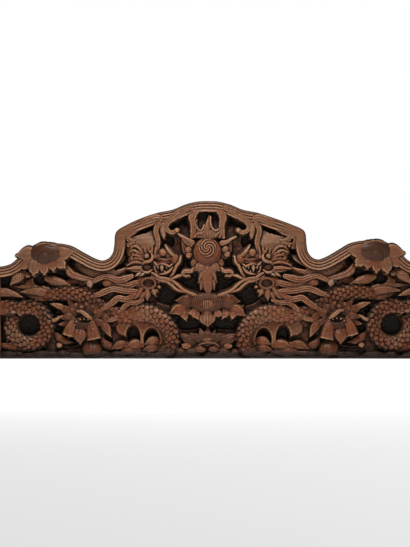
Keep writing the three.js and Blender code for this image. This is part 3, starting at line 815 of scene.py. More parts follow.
# The head, which looks towards the pearl with an open mouth
HEAD_MASSES = [  # each is [centre, radii, redness]
    [[-166, 244, 32], [36, 27, 15], 1.1],
    [[-184, 270, 30], [22, 24, 14], 0.9],
    [[-148, 268, 28], [22, 18, 14], 0.8],
    [[-110, 246, 30], [33, 24, 17], 1.35],
    [[-108, 218, 25], [30, 20, 14], 1.3],
    [[-128, 206, 28], [26, 12, 16], 1.0],
]
NOSE_LUMPS = [
    [[-115, 264, 46], [10, 9.5, 13], 0.55],
    [[-126, 255, 42], [9, 8, 9], 1.0],
    [[-103, 256, 42], [9, 8, 9], 1.2],
    [[-86, 248, 40], [11, 13, 10], 0.6],
    [[-106, 206, 34], [19, 8, 10], 1.2],
]
FACE_KNOBS = [  # each is [x, z, height, radius, redness]
    [-154.5, 255.5, 49, 6.5, -0.3], [-134.5, 254, 48, 5, -0.2], [-146, 266, 46, 4.5, 0.1],
    [-193, 279, 43, 4.5, 0.2], [-189, 262, 42, 4.5, 0.2], [-183, 251, 44, 4, 0.7], [-172, 247, 46, 4, 0.8],
    [-201, 282, 43, 4, 0.2], [-187, 288, 43, 3.5, 0.1], [-175, 277, 45, 3.5, 0.1], [-180, 264, 46, 3.5, 0.3],
    [-192, 250, 43, 4, 0.7], [-171, 262, 45, 4, 0.2],
]
HAIR = [  # each is [path, half widths, redness]
    [[[-202, 316, 46], [-202, 304, 46], [-195, 297, 46], [-184, 296.5, 44]], [4, 4.5, 4, 1.2], 0.1],
    [[[-206, 287, 42], [-197, 286, 44], [-189, 289, 44], [-183, 294, 42]], [2.5, 4, 3.5, 1.2], 0.2],
    [
        [[-196, 275, 43], [-187, 281, 46], [-177, 278, 47], [-170, 270, 47], [-163, 260, 46]],
        [2, 3.4, 3.6, 3.2, 1.2], 0.2,
    ],
    [[[-198, 266, 42], [-188, 270, 46], [-178, 266, 47], [-167, 256, 46]], [2, 3.4, 3.4, 1.2], 0.3],
    [[[-195, 254, 41], [-186, 259, 45], [-175, 256, 47], [-165, 249, 47]], [2, 3.4, 3.4, 1.2], 0.55],
    [[[-164, 284, 40], [-160, 272, 43], [-157, 262, 45]], [1.2, 3, 3], 0.1],
    [[[-152, 286, 40], [-151, 274, 43], [-149, 263, 46]], [1.2, 3, 2.4], 0.1],
    [[[-141, 286, 41], [-142, 272, 44], [-142, 262, 47]], [1.2, 3, 2.4], 0.0],
    [[[-131, 284, 42], [-133, 270, 45], [-135, 257, 48]], [2, 3, 2.6], 0.0],
    [[[-204, 232, 40], [-192, 239, 45], [-180, 241, 48], [-167, 238, 48]], [1.2, 3.4, 4, 2.6], 0.5],
    [[[-199, 243, 38], [-187, 248, 44], [-175, 249, 47], [-163, 245, 48]], [1.2, 3.4, 3.6, 2.4], 0.75],
    [[[-166, 226, 47], [-182, 227, 49], [-204, 224.5, 43]], [5, 4.6, 1], 0.35],
    [[[-168, 219, 46], [-181, 219, 46], [-195, 220, 41]], [3.4, 3, 1], 0.5],
]
LIDS = [  # the brow and the lower lid, each [path, half widths, redness]
    [
        [[-168, 232, 46], [-161, 240, 52], [-150, 243, 55], [-143.5, 247, 56], [-140.5, 255, 55],
         [-144, 262, 51]],
        [1.6, 3.2, 3.6, 3.6, 3.2, 1.6], 0.0,
    ],
    [[[-168, 222, 46], [-162, 217, 50], [-152, 216, 51], [-143, 221, 49]], [1.4, 2.4, 2.4, 1.4], -0.2],
]
EYE = [[-154, 229, 43], [10.9, 9.6, 11]]
EYE_SOCKET = [[-154, 229], [15, 12], 42]
FACE_FOLDS = [
    [[[-139, 244, 46], [-133, 237, 50], [-126, 230, 50], [-124, 219, 47]], [2, 3, 3, 1.6], 0.25],
    [[[-138, 233, 46], [-133, 224, 49], [-131, 214, 47]], [1.6, 2.8, 1.6], 0.35],
    [[[-129, 249, 46], [-118, 248, 50], [-106, 246, 50], [-95, 250, 47]], [2, 3.8, 3.8, 2], 1.15],
    [[[-127, 241, 46], [-114, 241, 50], [-100, 240, 49]], [2, 3.6, 2.4], 1.2],
]
LID_TUFTS = [[[-162, 214, 47], [-173, 206, 43]], [[-172, 215, 47], [-184, 206, 43]]]
CREST_SPIKE = [[-80, 252, 44], [-90, 258, 46], [-101, 269, 48], [-109, 282, 44]]
MOUTH = [[-110, 224], [17, 8.5], 28]
LIPS = [  # each is [path, half widths, redness]
    [
        [[-128, 235, 48], [-118, 237, 52], [-108, 235, 53], [-99, 231, 52], [-91, 236, 48]],
        [1.4, 2.6, 2.6, 2.6, 1.4], 0.2,
    ],
    [
        [[-123, 210, 46], [-113, 212, 50], [-105, 214.5, 51], [-96, 221, 50], [-91, 229, 47]],
        [1.4, 2.6, 2.8, 2.6, 1.4], -0.3,
    ],
]
TEETH = [  # each is [root, tip, width]
    [[-117.5, 234, 49], [-117, 217, 48], 9.5], [[-127, 233, 47], [-127, 223, 46], 5],
    [[-106, 233, 48], [-105, 223, 47], 5], [[-98, 231, 47], [-98, 222, 46], 4.5],
    [[-110, 213, 48], [-110, 222, 47], 4.5], [[-102, 215, 48], [-102, 224, 47], 4.5],
]
JAW = [[-100, 200, 43], [-91, 211, 46], [-86, 221, 48], [-81, 232, 48], [-74, 241, 47], [-71, 254, 44]]
WHISKER = [
    [-142, 214, 46], [-133, 209, 50], [-124, 202, 51], [-108, 200, 51], [-93, 195, 50], [-80, 186, 49],
    [-66, 173, 48], [-48, 163, 46], [-24, 154, 44],
]
WHISKER_LOW = [
    [-144, 206, 45], [-132, 200, 48], [-118, 195, 50], [-104, 192, 50], [-93, 184, 49], [-82, 174, 48],
    [-60, 165, 46],
]
WHISKER_SIZES = [3, 4, 4, 3.6, 3.6, 3.6, 4, 5, 4]
WHISKER_LOW_SIZES = [2, 3, 3.2, 3.4, 3.4, 3.2, 1.5]
WHISKER_FORK = [[-98, 198, 46], [-88, 201, 47], [-78, 206, 46], [-64, 209, 42]]
CHEEK = [[-156, 187, 32], [30, 23, 15]]
CHEEK_HOLLOW = [[-151, 188], [15, 11], 39]
CHEEK_RING = [-151, 188, 46]
CHEEK_RING_RADII = [17, 13.26]
CHEEK_KNOBS = [[-126, 192, 40], [-125, 180, 40], [-132, 169, 40]]
BEARD = [  # each is [path, width]
    [[[-154, 170, 46], [-154, 145, 46]], 16],
    [[[-168, 174, 46], [-178, 158, 46], [-188, 146, 44]], 13],
    [[[-140, 172, 45], [-134, 158, 45]], 13],
    [[[-161, 164, 46], [-168, 152, 45], [-174, 141, 43]], 11],
]


def cheek_rings(dx, dz, out):
    """Ridges round the cheek, one inside another."""
    return 1.5 * np.cos(out * 19) * (1 - smoothstep(0.9, 1.0, out)) * smoothstep(0.25, 0.5, out)


def oval(centre, radii, count=24):
    x, z, high = centre
    angles = np.radians(np.linspace(0, 360, count))
    return [[x + radii[0] * math.cos(a), z + radii[1] * math.sin(a), high] for a in angles]


def dragon_head(side):
    field.domes(HEAD_MASSES, side, power=0.3)
    field.dome(*CHEEK, side, power=0.35, warmth=0.85, detail=cheek_rings)
    field.ridges(HAIR, side, arch=0.7, wall=2.4, detail=reeds(2, 1.2))
    field.domes(NOSE_LUMPS, side)
    field.ridge(CREST_SPIKE, side, [2.5, 4.5, 4.5, 1], arch=0.6, warmth=-0.25)
    field.ridges(FACE_FOLDS, side, arch=0.7, wall=2.4)
    field.sink(*MOUTH, side)
    for root, tip, width in TEETH:
        field.petal([root, tip], side, width, rise=1, arch=0.5, crease=0, warmth=-0.9)
    field.ridges(LIPS, side, arch=0.7)
    field.ridge(JAW, side, [2.4, 3.4, 3.4, 3.4, 3.2, 2], arch=0.6, detail=reeds(2, 1.2), warmth=-0.2)
    field.sink(*EYE_SOCKET, side)
    field.dome(*EYE, side, warmth=1.7)
    field.ridges(LIDS, side, arch=0.6)
    for x, z, low, radius, tone in FACE_KNOBS:
        field.dome([x, z, low], [radius, radius, radius + 1], side, warmth=tone)
    for tuft in LID_TUFTS:
        field.petal(tuft, side, 7, rise=1, arch=0.5, crease=0, warmth=-0.7)
    field.sink(*CHEEK_HOLLOW, side)
    field.ridge(oval(CHEEK_RING, CHEEK_RING_RADII), side, [2.8], arch=0.6, wall=2, warmth=1.1)
    for knob in CHEEK_KNOBS:
        field.dome(knob, [4.5, 4.5, 6], side)
    for path, width in BEARD:
        field.petal(path, side, width, rise=1, arch=0.4, crease=-1.2, rim=0.6, warmth=0.0)
    field.ridge(WHISKER_LOW, side, WHISKER_LOW_SIZES, arch=0.6, detail=reeds(2, 1.4), warmth=0.35)
    field.ridge(WHISKER_FORK, side, [3, 3.4, 3.2, 1], warmth=-0.1)
    field.ridge(WHISKER, side, WHISKER_SIZES, detail=reeds(2, 1.6), warmth=0.15)


# Lotus flowers on the wings; each petal is [path, width, redness]
BUD_SIDES = [
    [[[-434, 262, 50], [-479, 257, 54]], 36, 0.2],
    [[[-388, 260, 50], [-338, 265, 54]], 36, 0.2],
]
BUD_COLLAR = [
    [[[-430, 252, 48], [-452, 240, 51], [-469, 227, 51]], 26, 0.5],
    [[[-392, 252, 49], [-390, 238, 53], [-388, 222, 52]], 25, 0.5],
    [[[-386, 254, 49], [-374, 242, 53], [-361, 229, 52]], 27, 0.4],
    [[[-412, 250, 50], [-411, 232, 54], [-410, 213, 53]], 25, 0.45],
    [[[-428, 252, 50], [-433, 234, 55], [-437, 212, 54]], 30, 0.15],
]
BUD_TOP = [
    [[[-430, 277, 51], [-398, 287, 51]], 13, 0.3],
    [[[-398, 282, 51], [-366, 272, 51]], 13, 0.1],
]
BUD_HEART = [[-406, 260, 49], [42, 27, 15]]
BUD_FOLDS = [  # petals on the bud's heart, each [centre, radii, height]
    [[-24, -1], [19, 20], 1.6], [[21, 1], [21, 21], 1.8],
    [[-3, 12], [19, 15], 2.6], [[-5, -11], [15, 15], 4.0],
]
BUD_FOLD_BED = 3.2
BUD_FOOT = 30  # the height at which a bud's back lies


def bud_petals(dx, dz, out):
    """Broad petals that fold over one another, the lowest in front."""
    top = np.zeros_like(out)
    for (x, z), (wide, tall), high in BUD_FOLDS:
        reach = np.hypot((dx - x) / wide, (dz - z) / tall)
        slope = 1.2 * (dz - z) / tall
        top = np.maximum(top, (high + slope) * (1 - smoothstep(0.86, 1.0, reach)))
    return (top - BUD_FOLD_BED) * (1 - smoothstep(0.9, 1.0, out))


FALLEN_LEAF = [[-464, 219, 36], [-478, 204, 42], [-495, 186, 42]]
FALLEN_NUB = [[-448, 214, 36], [-459, 205, 38]]
STEM_LEAF = [[-404, 201, 33], [-380, 192, 36], [-346, 183, 34]]
BUD_HOLES = [[[-373, 213], [23, 18]], [[-421, 196], [17, 13]]]
OPEN = [-312, 96]
OPEN_BACK = [  # petals behind the others, each [angle, reach, width]
    [150, 78, 26], [128, 66, 24], [104, 58, 24], [74, 58, 24], [48, 60, 22], [22, 58, 20], [172, 66, 18],
    [190, 62, 22], [350, 56, 22],
]
OPEN_SQUARE = [
    [[[-296, 48, 34], [-294, 28, 41], [-292, 11, 43]], 50, 1.3],
    [[[-338, 96, 42], [-345, 76, 47], [-350, 56, 45]], 31, 0.5],
    [[[-296, 96, 46], [-291, 72, 51], [-287, 48, 49]], 32, 0.75],
]
OPEN_POINTED = [
    [[[-320, 76, 44], [-321, 58, 50], [-321, 38, 47]], 34, 0.8],
    [[[-272, 94, 36], [-258, 78, 40], [-246, 56, 38]], 22, 0.9],
    [[[-358, 124, 38], [-376, 132, 42], [-395, 137, 42]], 13, 0.1],
    [[[-340, 102, 42], [-352, 106, 45], [-366, 104, 43]], 18, 1.1],
    [[[-270, 110, 38], [-258, 104, 42], [-246, 94, 40]], 18, 1.2],
]
OPEN_HEART = [[-311, 88, 42], [27, 19, 14]]
OPEN_DISH = [[-311, 97], [17, 7], 44]
OPEN_RIM = [[-335, 84], [-330, 93], [-321, 98], [-311, 100], [-301, 98], [-292, 93], [-287, 84]]
OPEN_LUMPS = [
    [-322, 148, 36], [-312, 158, 36], [-300, 148, 36], [-332, 134, 38], [-306, 136, 39], [-290, 130, 37],
    [-334, 150, 34], [-318, 128, 41], [-342, 122, 38], [-284, 116, 38], [-346, 140, 34],
]
OPEN_CURL = [[-326, 119, 48], [-318, 118, 53], [-309, 112, 56], [-300, 105, 55], [-294, 100, 51]]
TENDRILS = [
    [[-362, 108, 40], [-376, 102, 42], [-388, 97, 42], [-410, 97, 40]],
    [[-368, 106, 40], [-382, 96, 42], [-402, 87, 40]],
]
LOW_KNOB = [[-374, 33, 34], [7.5, 6.5, 9]]
LOW_LEAVES = [
    [[[-385, 60, 26], [-362, 44, 30], [-340, 40, 28]], 16],
    [[[-440, 22, 26], [-490, 30, 28], [-535, 34, 26]], 22],
    [[[-165, 22, 30], [-205, 30, 34], [-242, 30, 32]], 24],
    [[[-240, 24, 28], [-262, 40, 30], [-268, 60, 28]], 18],
    [[[-60, 16, 28], [-84, 26, 30], [-92, 40, 28]], 14],
    [[[-290, 20, 28], [-330, 16, 28], [-372, 22, 26]], 18],
]


def open_lotus(side):
    x, z = OPEN
    for angle, reach, width in OPEN_BACK:
        way = [math.cos(math.radians(angle)), math.sin(math.radians(angle))]
        root = [x + way[0] * reach * 0.2, z + way[1] * reach * 0.2, 32]
        tip = [x + way[0] * reach, z + way[1] * reach, 40]
        field.petal([root, tip], side, width, rise=3, ribs=3, rim=1.4, crease=1.4, warmth=1.15)
    for lump in OPEN_LUMPS:
        field.dome(lump, [7.5, 6.5, 9], side, warmth=0.95, detail=whirl_lines)
    field.petals(OPEN_SQUARE, side, rise=2, ribs=3, rim=0.9, crease=0.6, square=True)
    field.petals(OPEN_POINTED, side, rise=2, ribs=3, rim=0.9, crease=0.6)
    field.dome(*OPEN_HEART, side, power=0.4, warmth=1.6, detail=ribbed(44, 1.6))
    field.sink(*OPEN_DISH, side)
    for x, z in OPEN_RIM:
        field.dome([x, z, 50], [2.6, 2.6, 4], side, warmth=0.0)
    field.ridge(OPEN_CURL, side, [3, 4, 4.5, 4.5, 3], warmth=0.05)
    for line in TENDRILS:
        field.ridge(line, side, [1.6, 1.9, 1.6, 1], arch=0.7, warmth=-0.3)
    field.dome(*LOW_KNOB, side, warmth=0.3)
    for path, width in LOW_LEAVES:
        field.petal(path, side, width, rise=3, ribs=2, crease=1, warmth=1.1)


def under_bud(side):
    for centre, radii in BUD_HOLES:
        field.sink(centre, radii, GROUND, side)
    field.petal(FALLEN_LEAF, side, 25, rise=3, fan=7, warmth=0.25)
    field.petal(FALLEN_NUB, side, 14, rise=1, blunt=True, warmth=0.25)
    field.petal(STEM_LEAF, side, 22, rise=2, warmth=0.45)


def bud_lotus(side):
    """The bud over a wing's border, as a relief of its own."""
    bud = Relief(0)
    bud.petals(BUD_SIDES, side, rise=1, arch=0.12, ribs=3, rim=1, crease=0.8)
    bud.petals(BUD_COLLAR, side, rise=1, arch=0.12, ribs=3, rim=1, crease=0.8, blunt=True)
    bud.petals(BUD_TOP, side, rise=1, arch=0.2, crease=0)
    bud.dome(*BUD_HEART, side, power=0.45, warmth=2.0, detail=bud_petals)
    bud.height = np.where(bud.height > BUD_FOOT, bud.height, 0)
    return bud


# Carve the field
undergrowth()
for side in SIDES:
    raised_grounds(side)
    dragon_body(side)
    under_bud(side)
    open_lotus(side)
    mane(side)
    tracery(side)
    dragon_head(side)
pearl()
middle_lotus()
roots()

# Regions where the wood is made redder and darker, or paler for a negative amount, each [centre, radii,
# amount]
DEEPER = [
    [[-306, 92], [84, 72], 0.45], [[-232, 158], [88, 56], 0.35], [[-260, 20], [300, 34], 0.3],
    [[-476, 54], [44, 46], -0.7], [[-440, 126], [100, 34], 0.3], [[-404, 84], [30, 60], 0.3],
    [[-150, 118], [44, 30], -0.45], [[-104, 46], [34, 60], 0.25], [[-380, 152], [60, 34], 0.2],
]
HEAD_DEEPER = [
    [[-172, 252], [46, 46], 0.35], [[-112, 236], [46, 46], 0.4], [[-152, 186], [36, 30], 0.4],
]
MIDDLE_DEEPER = [[[-3, 142], [100, 52], 0.2], [[0, 36], [90, 44], 0.3]]
for side in SIDES:
    for centre, radii, amount in DEEPER + HEAD_DEEPER:
        field.deepen(centre, radii, side, amount)
for centre, radii, amount in MIDDLE_DEEPER:
    field.deepen(centre, radii, ONCE, amount)

# No pit cuts through the rail's ends
END_RIM = 5  # columns of the grid
END_TALL = PANEL + 10
END_WARMTH = 1.8
for end in (slice(0, END_RIM), slice(-END_RIM, None)):
    low = field.height[:, end] < END_TALL
    field.warmth[:, end][low] = END_WARMTH
    field.height[:, end][low] = END_TALL

BUDS = {side: bud_lotus(side) for side in SIDES}

# The border's section, as [distance in from the outer edge, height]: with reeds, and smooth
BORDER_PROFILE = [
    [0, 0], [0, 46], [0.9, 49.2], [2.6, 51.0], [4.8, 52.2], [6.3, 47.0], [7.8, 52.8], [9.5, 53.8],
    [11.2, 52.9], [12.8, 47.2], [14.4, 52.8], [16.4, 53.6], [18.6, 52.6], [20.2, 47.0], [21.8, 52],
    [23.6, 52.5], [25.6, 51], [27, 46], [27, 0],
]
SMOOTH_PROFILE = [
    [0, 0], [0, 46], [0.9, 49.2], [3, 51.8], [8, 53.6], [16, 53.8], [23, 52.2], [27, 47.5], [27, 0],
]
EDGE_WIDE = 27
EDGE_TALL = 46
REEDED = np.array(BORDER_PROFILE[1:-1])
SMOOTH = np.interp(REEDED[:, 0], *np.array(SMOOTH_PROFILE[1:-1]).T)


def blended(share):
    """A profile between the reeded one and the smooth one."""
    tops = REEDED[:, 1] * (1 - share) + SMOOTH * share
    return [BORDER_PROFILE[0], *np.column_stack([REEDED[:, 0], tops]).tolist(), BORDER_PROFILE[-1]]


def border_height(inward, smooth):
    """The border's height at a distance in from the outer edge, where it is smooth by a share."""
    reeded = np.interp(inward, *REEDED.T)
    plain = np.interp(inward, REEDED[:, 0], SMOOTH)
    return np.where((inward >= 0) & (inward <= EDGE_WIDE), reeded * (1 - smooth) + plain * smooth, 0)


# Where the reeds stop on the smooth shoulders
HUMP_FROM = [-206, 334, 0]
WING_TO = [-236, 287, 0]
FADE = 34  # how far the reeds take to fade out


def fade_ends(path, side):
    """The two places along a path between which the border is smooth."""
    return sorted(nearest_point(path, place([end], side)[0, :2]) for end in (HUMP_FROM, WING_TO))


def smooth_share(stroke):
    """How smooth the border is beside each cell: 0 along the reeds, 1 on the shoulders."""
    share = np.zeros_like(stroke.along)
    lengths = lengths_along(stroke.path)
    for side in SIDES:
        start, stop = lengths[fade_ends(stroke.path, side)]
        outside = np.maximum(np.maximum(start - stroke.along, stroke.along - stop), 0)
        share = np.maximum(share, 1 - smoothstep(0, FADE, outside))
    return share


rim = Stroke(np.column_stack([OUTLINE, np.zeros(len(OUTLINE))]), ONCE, EDGE_WIDE + 2)
rim_height = np.zeros((ROWS, COLUMNS))
rim_height[rim.window] = border_height(-rim.across, smooth_share(rim))
rim_depth = np.full((ROWS, COLUMNS), float(EDGE_WIDE))
rim_depth[rim.window] = -rim.across


def within_outline(inset, foot):
    """The cells that lie inside the outline by an inset and above a foot."""
    return inside(np.vstack([OUTLINE + INWARD * inset, [[LENGTH, foot], [-LENGTH, foot]]]))


FIELD_INSET = 12  # the relief runs this far under the border
FIELD_FOOT = 4
COVER_INSET = 1.5
COVER_GAP = 0.3
GROUND_MARKS = 0.35  # how deep the tool's marks are
FINE_MARKS = 0.6
BROAD_MARKS = 0.8
field_mask = within_outline(FIELD_INSET, FIELD_FOOT)
field.height += GROUND_MARKS * grain_noise(3, 5, 2) * (field.height < PANEL + 4)
field.height += FINE_MARKS * grain_noise(5, 3.5) + BROAD_MARKS * grain_noise(6, 8)
field.height = soften(soften(field.height, 0.5), 0.35)

# Where the tracery runs out over the border, the relief covers it
covering = within_outline(COVER_INSET, 0) & (field.height > rim_height + COVER_GAP)
field_mask = flood(field_mask, field_mask | covering)

# Everything that is seen from the front, for the shade that it casts
BORDER_WARMTH = 0.12
landscape = np.maximum(np.where(field_mask, field.height, 0), rim_height)
landscape[GRID_Z < RAIL_TALL] = np.maximum(landscape[GRID_Z < RAIL_TALL], RAIL_DEEP)
warmth = np.where(rim_height >= landscape, BORDER_WARMTH, field.warmth)
for relief in BUDS.values():
    warmth = np.where(relief.height > landscape, relief.warmth, warmth)
    landscape = np.maximum(landscape, relief.height)


def shifted(grid, rows, columns):
    """The grid moved by whole cells, with its edge cells repeated."""
    row_at = np.clip(np.arange(ROWS) + rows, 0, ROWS - 1)
    column_at = np.clip(np.arange(COLUMNS) + columns, 0, COLUMNS - 1)
    return grid[row_at][:, column_at]


SKY_WAYS = 12
SKY_REACHES = (1.5, 3, 5, 8, 12, 18, 26)


def sky_share(grid):
    """How much of the sky in front each cell sees, from 0 in a deep hole to 1 on top."""
    total = np.zeros_like(grid)
    for turn in range(SKY_WAYS):
        angle = 2 * math.pi * turn / SKY_WAYS
        steepest = np.zeros_like(grid)
        for reach in SKY_REACHES:
            rows = int(round(math.sin(angle) * reach / CELL))
            columns = int(round(math.cos(angle) * reach / CELL))
            rise = (shifted(grid, rows, columns) - grid) / (math.hypot(rows, columns) * CELL)
            np.maximum(steepest, rise, out=steepest)
        total += 1 / (1 + steepest**2)
    return total / SKY_WAYS


# Painted shade: how much of the sky each cell sees, with still less light painted on the deep ground, the
# foot and the border's outer edge
SKY_POWER = 1.6
GROUND_PAINTED_LIGHT = 0.1
FOOT_PAINTED_LIGHT = 0.3
FOOT_PAINTED_SHADE = [6, 30]  # heights from the underside between which the painted shade on the foot lifts
EDGE_PAINTED_LIGHT = 0.5
EDGE_PAINTED_SHADE = [2, 6.5]  # distances in from the outline between which the painted shade on the border's outer edge lifts
FINE_WEAR_SHEEN_SHADE = 0.55
BROAD_WEAR_SHEEN_SHADE = 0.25


def dimmed(least, low, high, value):
    """A share of the light that grows from the least to all of it between two values."""
    return least + (1 - least) * smoothstep(low, high, value)


# Outside the crest the air is left out, so that its edges get neither painted shade nor wear with painted
# highlights
landscape = np.where(landscape > 0, landscape, EDGE_TALL)
# The painted light share: the wood is painted darker where little sky is seen, on the deep ground, on the
# foot and on the border's outer edge
painted_light_share = sky_share(landscape) ** SKY_POWER
painted_light_share *= dimmed(GROUND_PAINTED_LIGHT, GROUND, UNDERGROWTH - 1, landscape)
painted_light_share *= dimmed(FOOT_PAINTED_LIGHT, *FOOT_PAINTED_SHADE, GRID_Z)[:, None]
painted_light_share *= np.where(landscape > rim_height, 1, dimmed(EDGE_PAINTED_LIGHT, *EDGE_PAINTED_SHADE, rim_depth))
# Wear with a painted highlight on raised edges, and painted shade in creases, by how far each cell stands
# above or below its surroundings
fine = (landscape - blur(landscape, 1)) / 1.4
broad = (landscape - blur(landscape, 5)) / 9
wear_sheen_and_crease_shade = np.clip(FINE_WEAR_SHEEN_SHADE * fine + BROAD_WEAR_SHEEN_SHADE * broad, -1, 1)


def sampled(grid, x, z):
    """A grid's values at places in millimetres."""
    column = np.clip((x + LENGTH / 2) / CELL, 0, COLUMNS - 1.001)
    row = np.clip(z / CELL, 0, ROWS - 1.001)
    c, r = column.astype(int), row.astype(int)
    fc, fr = column - c, row - r
    low = grid[r, c] * (1 - fc) + grid[r, c + 1] * fc
    high = grid[r + 1, c] * (1 - fc) + grid[r + 1, c + 1] * fc
    return low * (1 - fr) + high * fr


TIP_WEAR_AND_SHEEN = 0.17  # how much paler the scales' free ends are painted: wear, and a painted highlight
FACE_DEEP = 12  # what lies further behind the face is plain wood
# Plain wood behind the face gets an even share of painted light
PLAIN_PAINTED_LIGHT = 0.8
PLAIN_WARMTH = 0.3


def store(mesh, name, kind, values):
    """Keep a value for each vertex as an attribute of the mesh."""
    layer = mesh.attributes.new(name, kind, "POINT")
    field_name = "vector" if kind == "FLOAT_VECTOR" else "value"
    layer.data.foreach_set(field_name, values.astype(np.float32).ravel())


def paint(mesh):
    """Store on each vertex its painted shade by how open it lies, its wear with painted highlights and crease
    shade, and how red its wood is.
    """
    places = np.empty(len(mesh.vertices) * 3)
    mesh.vertices.foreach_get("co", places)
    x, y, z = places.reshape(-1, 3).T / MM
    high = BACK_Y / MM - y
    behind = high < np.minimum(sampled(landscape, x, z), RAIL_DEEP) - FACE_DEEP
    tone = 1.0
    if "tone" in mesh.attributes:
        tone = np.empty(len(mesh.vertices))
        mesh.attributes["tone"].data.foreach_get("value", tone)
    # On a scale the foot and edge get painted shade, and the free end wear with a painted highlight
    tip_sheen = TIP_WEAR_AND_SHEEN * np.maximum(tone - 1, 0)
    lit = sampled(painted_light_share, x, z) * np.minimum(tone, 1)
    store(mesh, "painted_light", "FLOAT", np.where(behind, PLAIN_PAINTED_LIGHT, lit))
    store(mesh, "wear_sheen_and_crease_shade", "FLOAT", np.where(behind, 0, sampled(wear_sheen_and_crease_shade, x, z) + tip_sheen))
    store(mesh, "warmth", "FLOAT", np.where(behind, PLAIN_WARMTH, sampled(warmth, x, z)))


def linked(name, data):
    """An object of the scene that holds a mesh, a curve, a lamp or a camera."""
    made = bpy.data.objects.new(name, data)
    bpy.context.scene.collection.objects.link(made)
    return made


def evaluated(source):
    """The plain mesh that an object's modifiers make of it; the modifiers are removed."""
    graph = bpy.context.evaluated_depsgraph_get()
    mesh = bpy.data.meshes.new_from_object(source.evaluated_get(graph))
    source.modifiers.clear()
    return mesh


def finished(name, mesh, material, smooth=True):
    """A piece made of a mesh, painted, given its material and joined to the crest's body."""
    paint(mesh)
    mesh.materials.clear()
    mesh.materials.append(material)
    if smooth:
        mesh.polygons.foreach_set("use_smooth", np.ones(len(mesh.polygons), bool))
    piece = linked(name, mesh)
    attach(piece, BODY)
    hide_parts(NODE)


def closed_loops(starts, stops):
    """The closed loops that directed edges form."""
    after = dict(zip(starts.tolist(), stops.tolist()))
    loops = []
    while after:
        start, stop = after.popitem()
        loop = [start]
        while stop != start:
            loop.append(stop)
            stop = after.pop(stop)
        loops.append(loop)
    return loops


def relief_mesh(name, height, mask, back, columns=slice(0, None)):
    """A closed mesh: the carved face over the cells of a mask, walls round it, and a flat back."""
    keep = np.zeros(COLUMNS - 1, bool)
    keep[columns] = True
    r, c = np.nonzero(whole_cells(mask) & keep[None, :])
    corners = ((0, 0), (0, 1), (1, 1), (1, 0))
    quads = np.stack([(r + up) * COLUMNS + c + aside for up, aside in corners], axis=1)
    used, quads = np.unique(quads, return_inverse=True)
    quads = quads.reshape(-1, 4)
    rows, cols = used // COLUMNS, used % COLUMNS
    x = np.clip(GRID_X[cols], -LENGTH / 2 + END_INSET, LENGTH / 2 - END_INSET)
    front = np.stack([x * MM, BACK_Y - height[rows, cols] * MM, GRID_Z[rows] * MM], axis=1)
    starts = quads.ravel()
    stops = np.roll(quads, -1, axis=1).ravel()
    count = len(used)
    lonely = ~np.isin(stops * count + starts, starts * count + stops)
    edge_from, edge_to = starts[lonely], stops[lonely]
    ring = np.unique(edge_from)
    to_back = np.full(count, -1)
    to_back[ring] = count + np.arange(len(ring))
    behind = front[ring].copy()
    behind[:, 1] = BACK_Y - back * MM
    walls = np.stack([edge_to, edge_from, to_back[edge_from], to_back[edge_to]], axis=1)
    backs = [to_back[loop[::-1]].tolist() for loop in closed_loops(edge_from, edge_to)]
    mesh = bpy.data.meshes.new(name)
    mesh.from_pydata(np.vstack([front, behind]).tolist(), [], quads.tolist() + walls.tolist() + backs)
    on_rim = np.zeros(len(mesh.vertices), bool)
    on_rim[ring] = True
    ends = np.empty(len(mesh.edges) * 2, np.int32)
    mesh.edges.foreach_get("vertices", ends)
    sharp = on_rim[ends.reshape(-1, 2)].all(axis=1)
    mesh.attributes.new("sharp_edge", "BOOLEAN", "EDGE").data.foreach_set("value", sharp)
    mesh.validate()
    return mesh


def set_values(node, values):
    for socket, value in values.items():
        node.inputs[socket].default_value = value


def add(tree, kind, values=None, **settings):
    """A new node of a tree, with its settings and the values of its sockets."""
    node = tree.nodes.new(kind)
    for name, value in settings.items():
        setattr(node, name, value)
    set_values(node, values or {})
    return node


def join(tree, links):
    """Link sockets, each pair given as [node, output, node, input]."""
    for source, output, target, entry in links:
        tree.links.new(source.outputs[output], target.inputs[entry])


def chain(tree, nodes):
    """Link the first output of each node to the first input of the next."""
    for source, target in zip(nodes, nodes[1:]):
        tree.links.new(source.outputs[0], target.inputs[0])


GEOMETRY = {"Geometry": "Geometry"}


def new_tree(name, kind, inputs, outputs):
    """A node tree with named inputs and outputs; also its sockets by name, and its first and last node."""
    tree = bpy.data.node_groups.new(name, kind)
    sockets = {}
    for label, socket in inputs.items():
        sockets[label] = tree.interface.new_socket(label, in_out="INPUT", socket_type="NodeSocket" + socket)
    for label, socket in outputs.items():
        tree.interface.new_socket(label, in_out="OUTPUT", socket_type="NodeSocket" + socket)
    return tree, sockets, add(tree, "NodeGroupInput"), add(tree, "NodeGroupOutput")


def grown(source, tree, values):
    """The plain mesh that a node tree makes of an object; the object is removed."""
    modifier = source.modifiers.new("Growth", "NODES")
    modifier.node_group = tree
    for socket, value in values:
        modifier[socket.identifier] = value
    mesh = evaluated(source)
    bpy.data.objects.remove(source)
    return mesh


def poly_curve(name, points, closed):
    curve = bpy.data.curves.new(name, "CURVE")
    curve.dimensions = "3D"
    spline = curve.splines.new("POLY")
    spline.points.add(len(points) - 1)
    flat = np.hstack([np.asarray(points), np.ones((len(points), 1))]).ravel()
    spline.points.foreach_set("co", flat)
    spline.use_cyclic_u = closed
    return linked(name, curve)


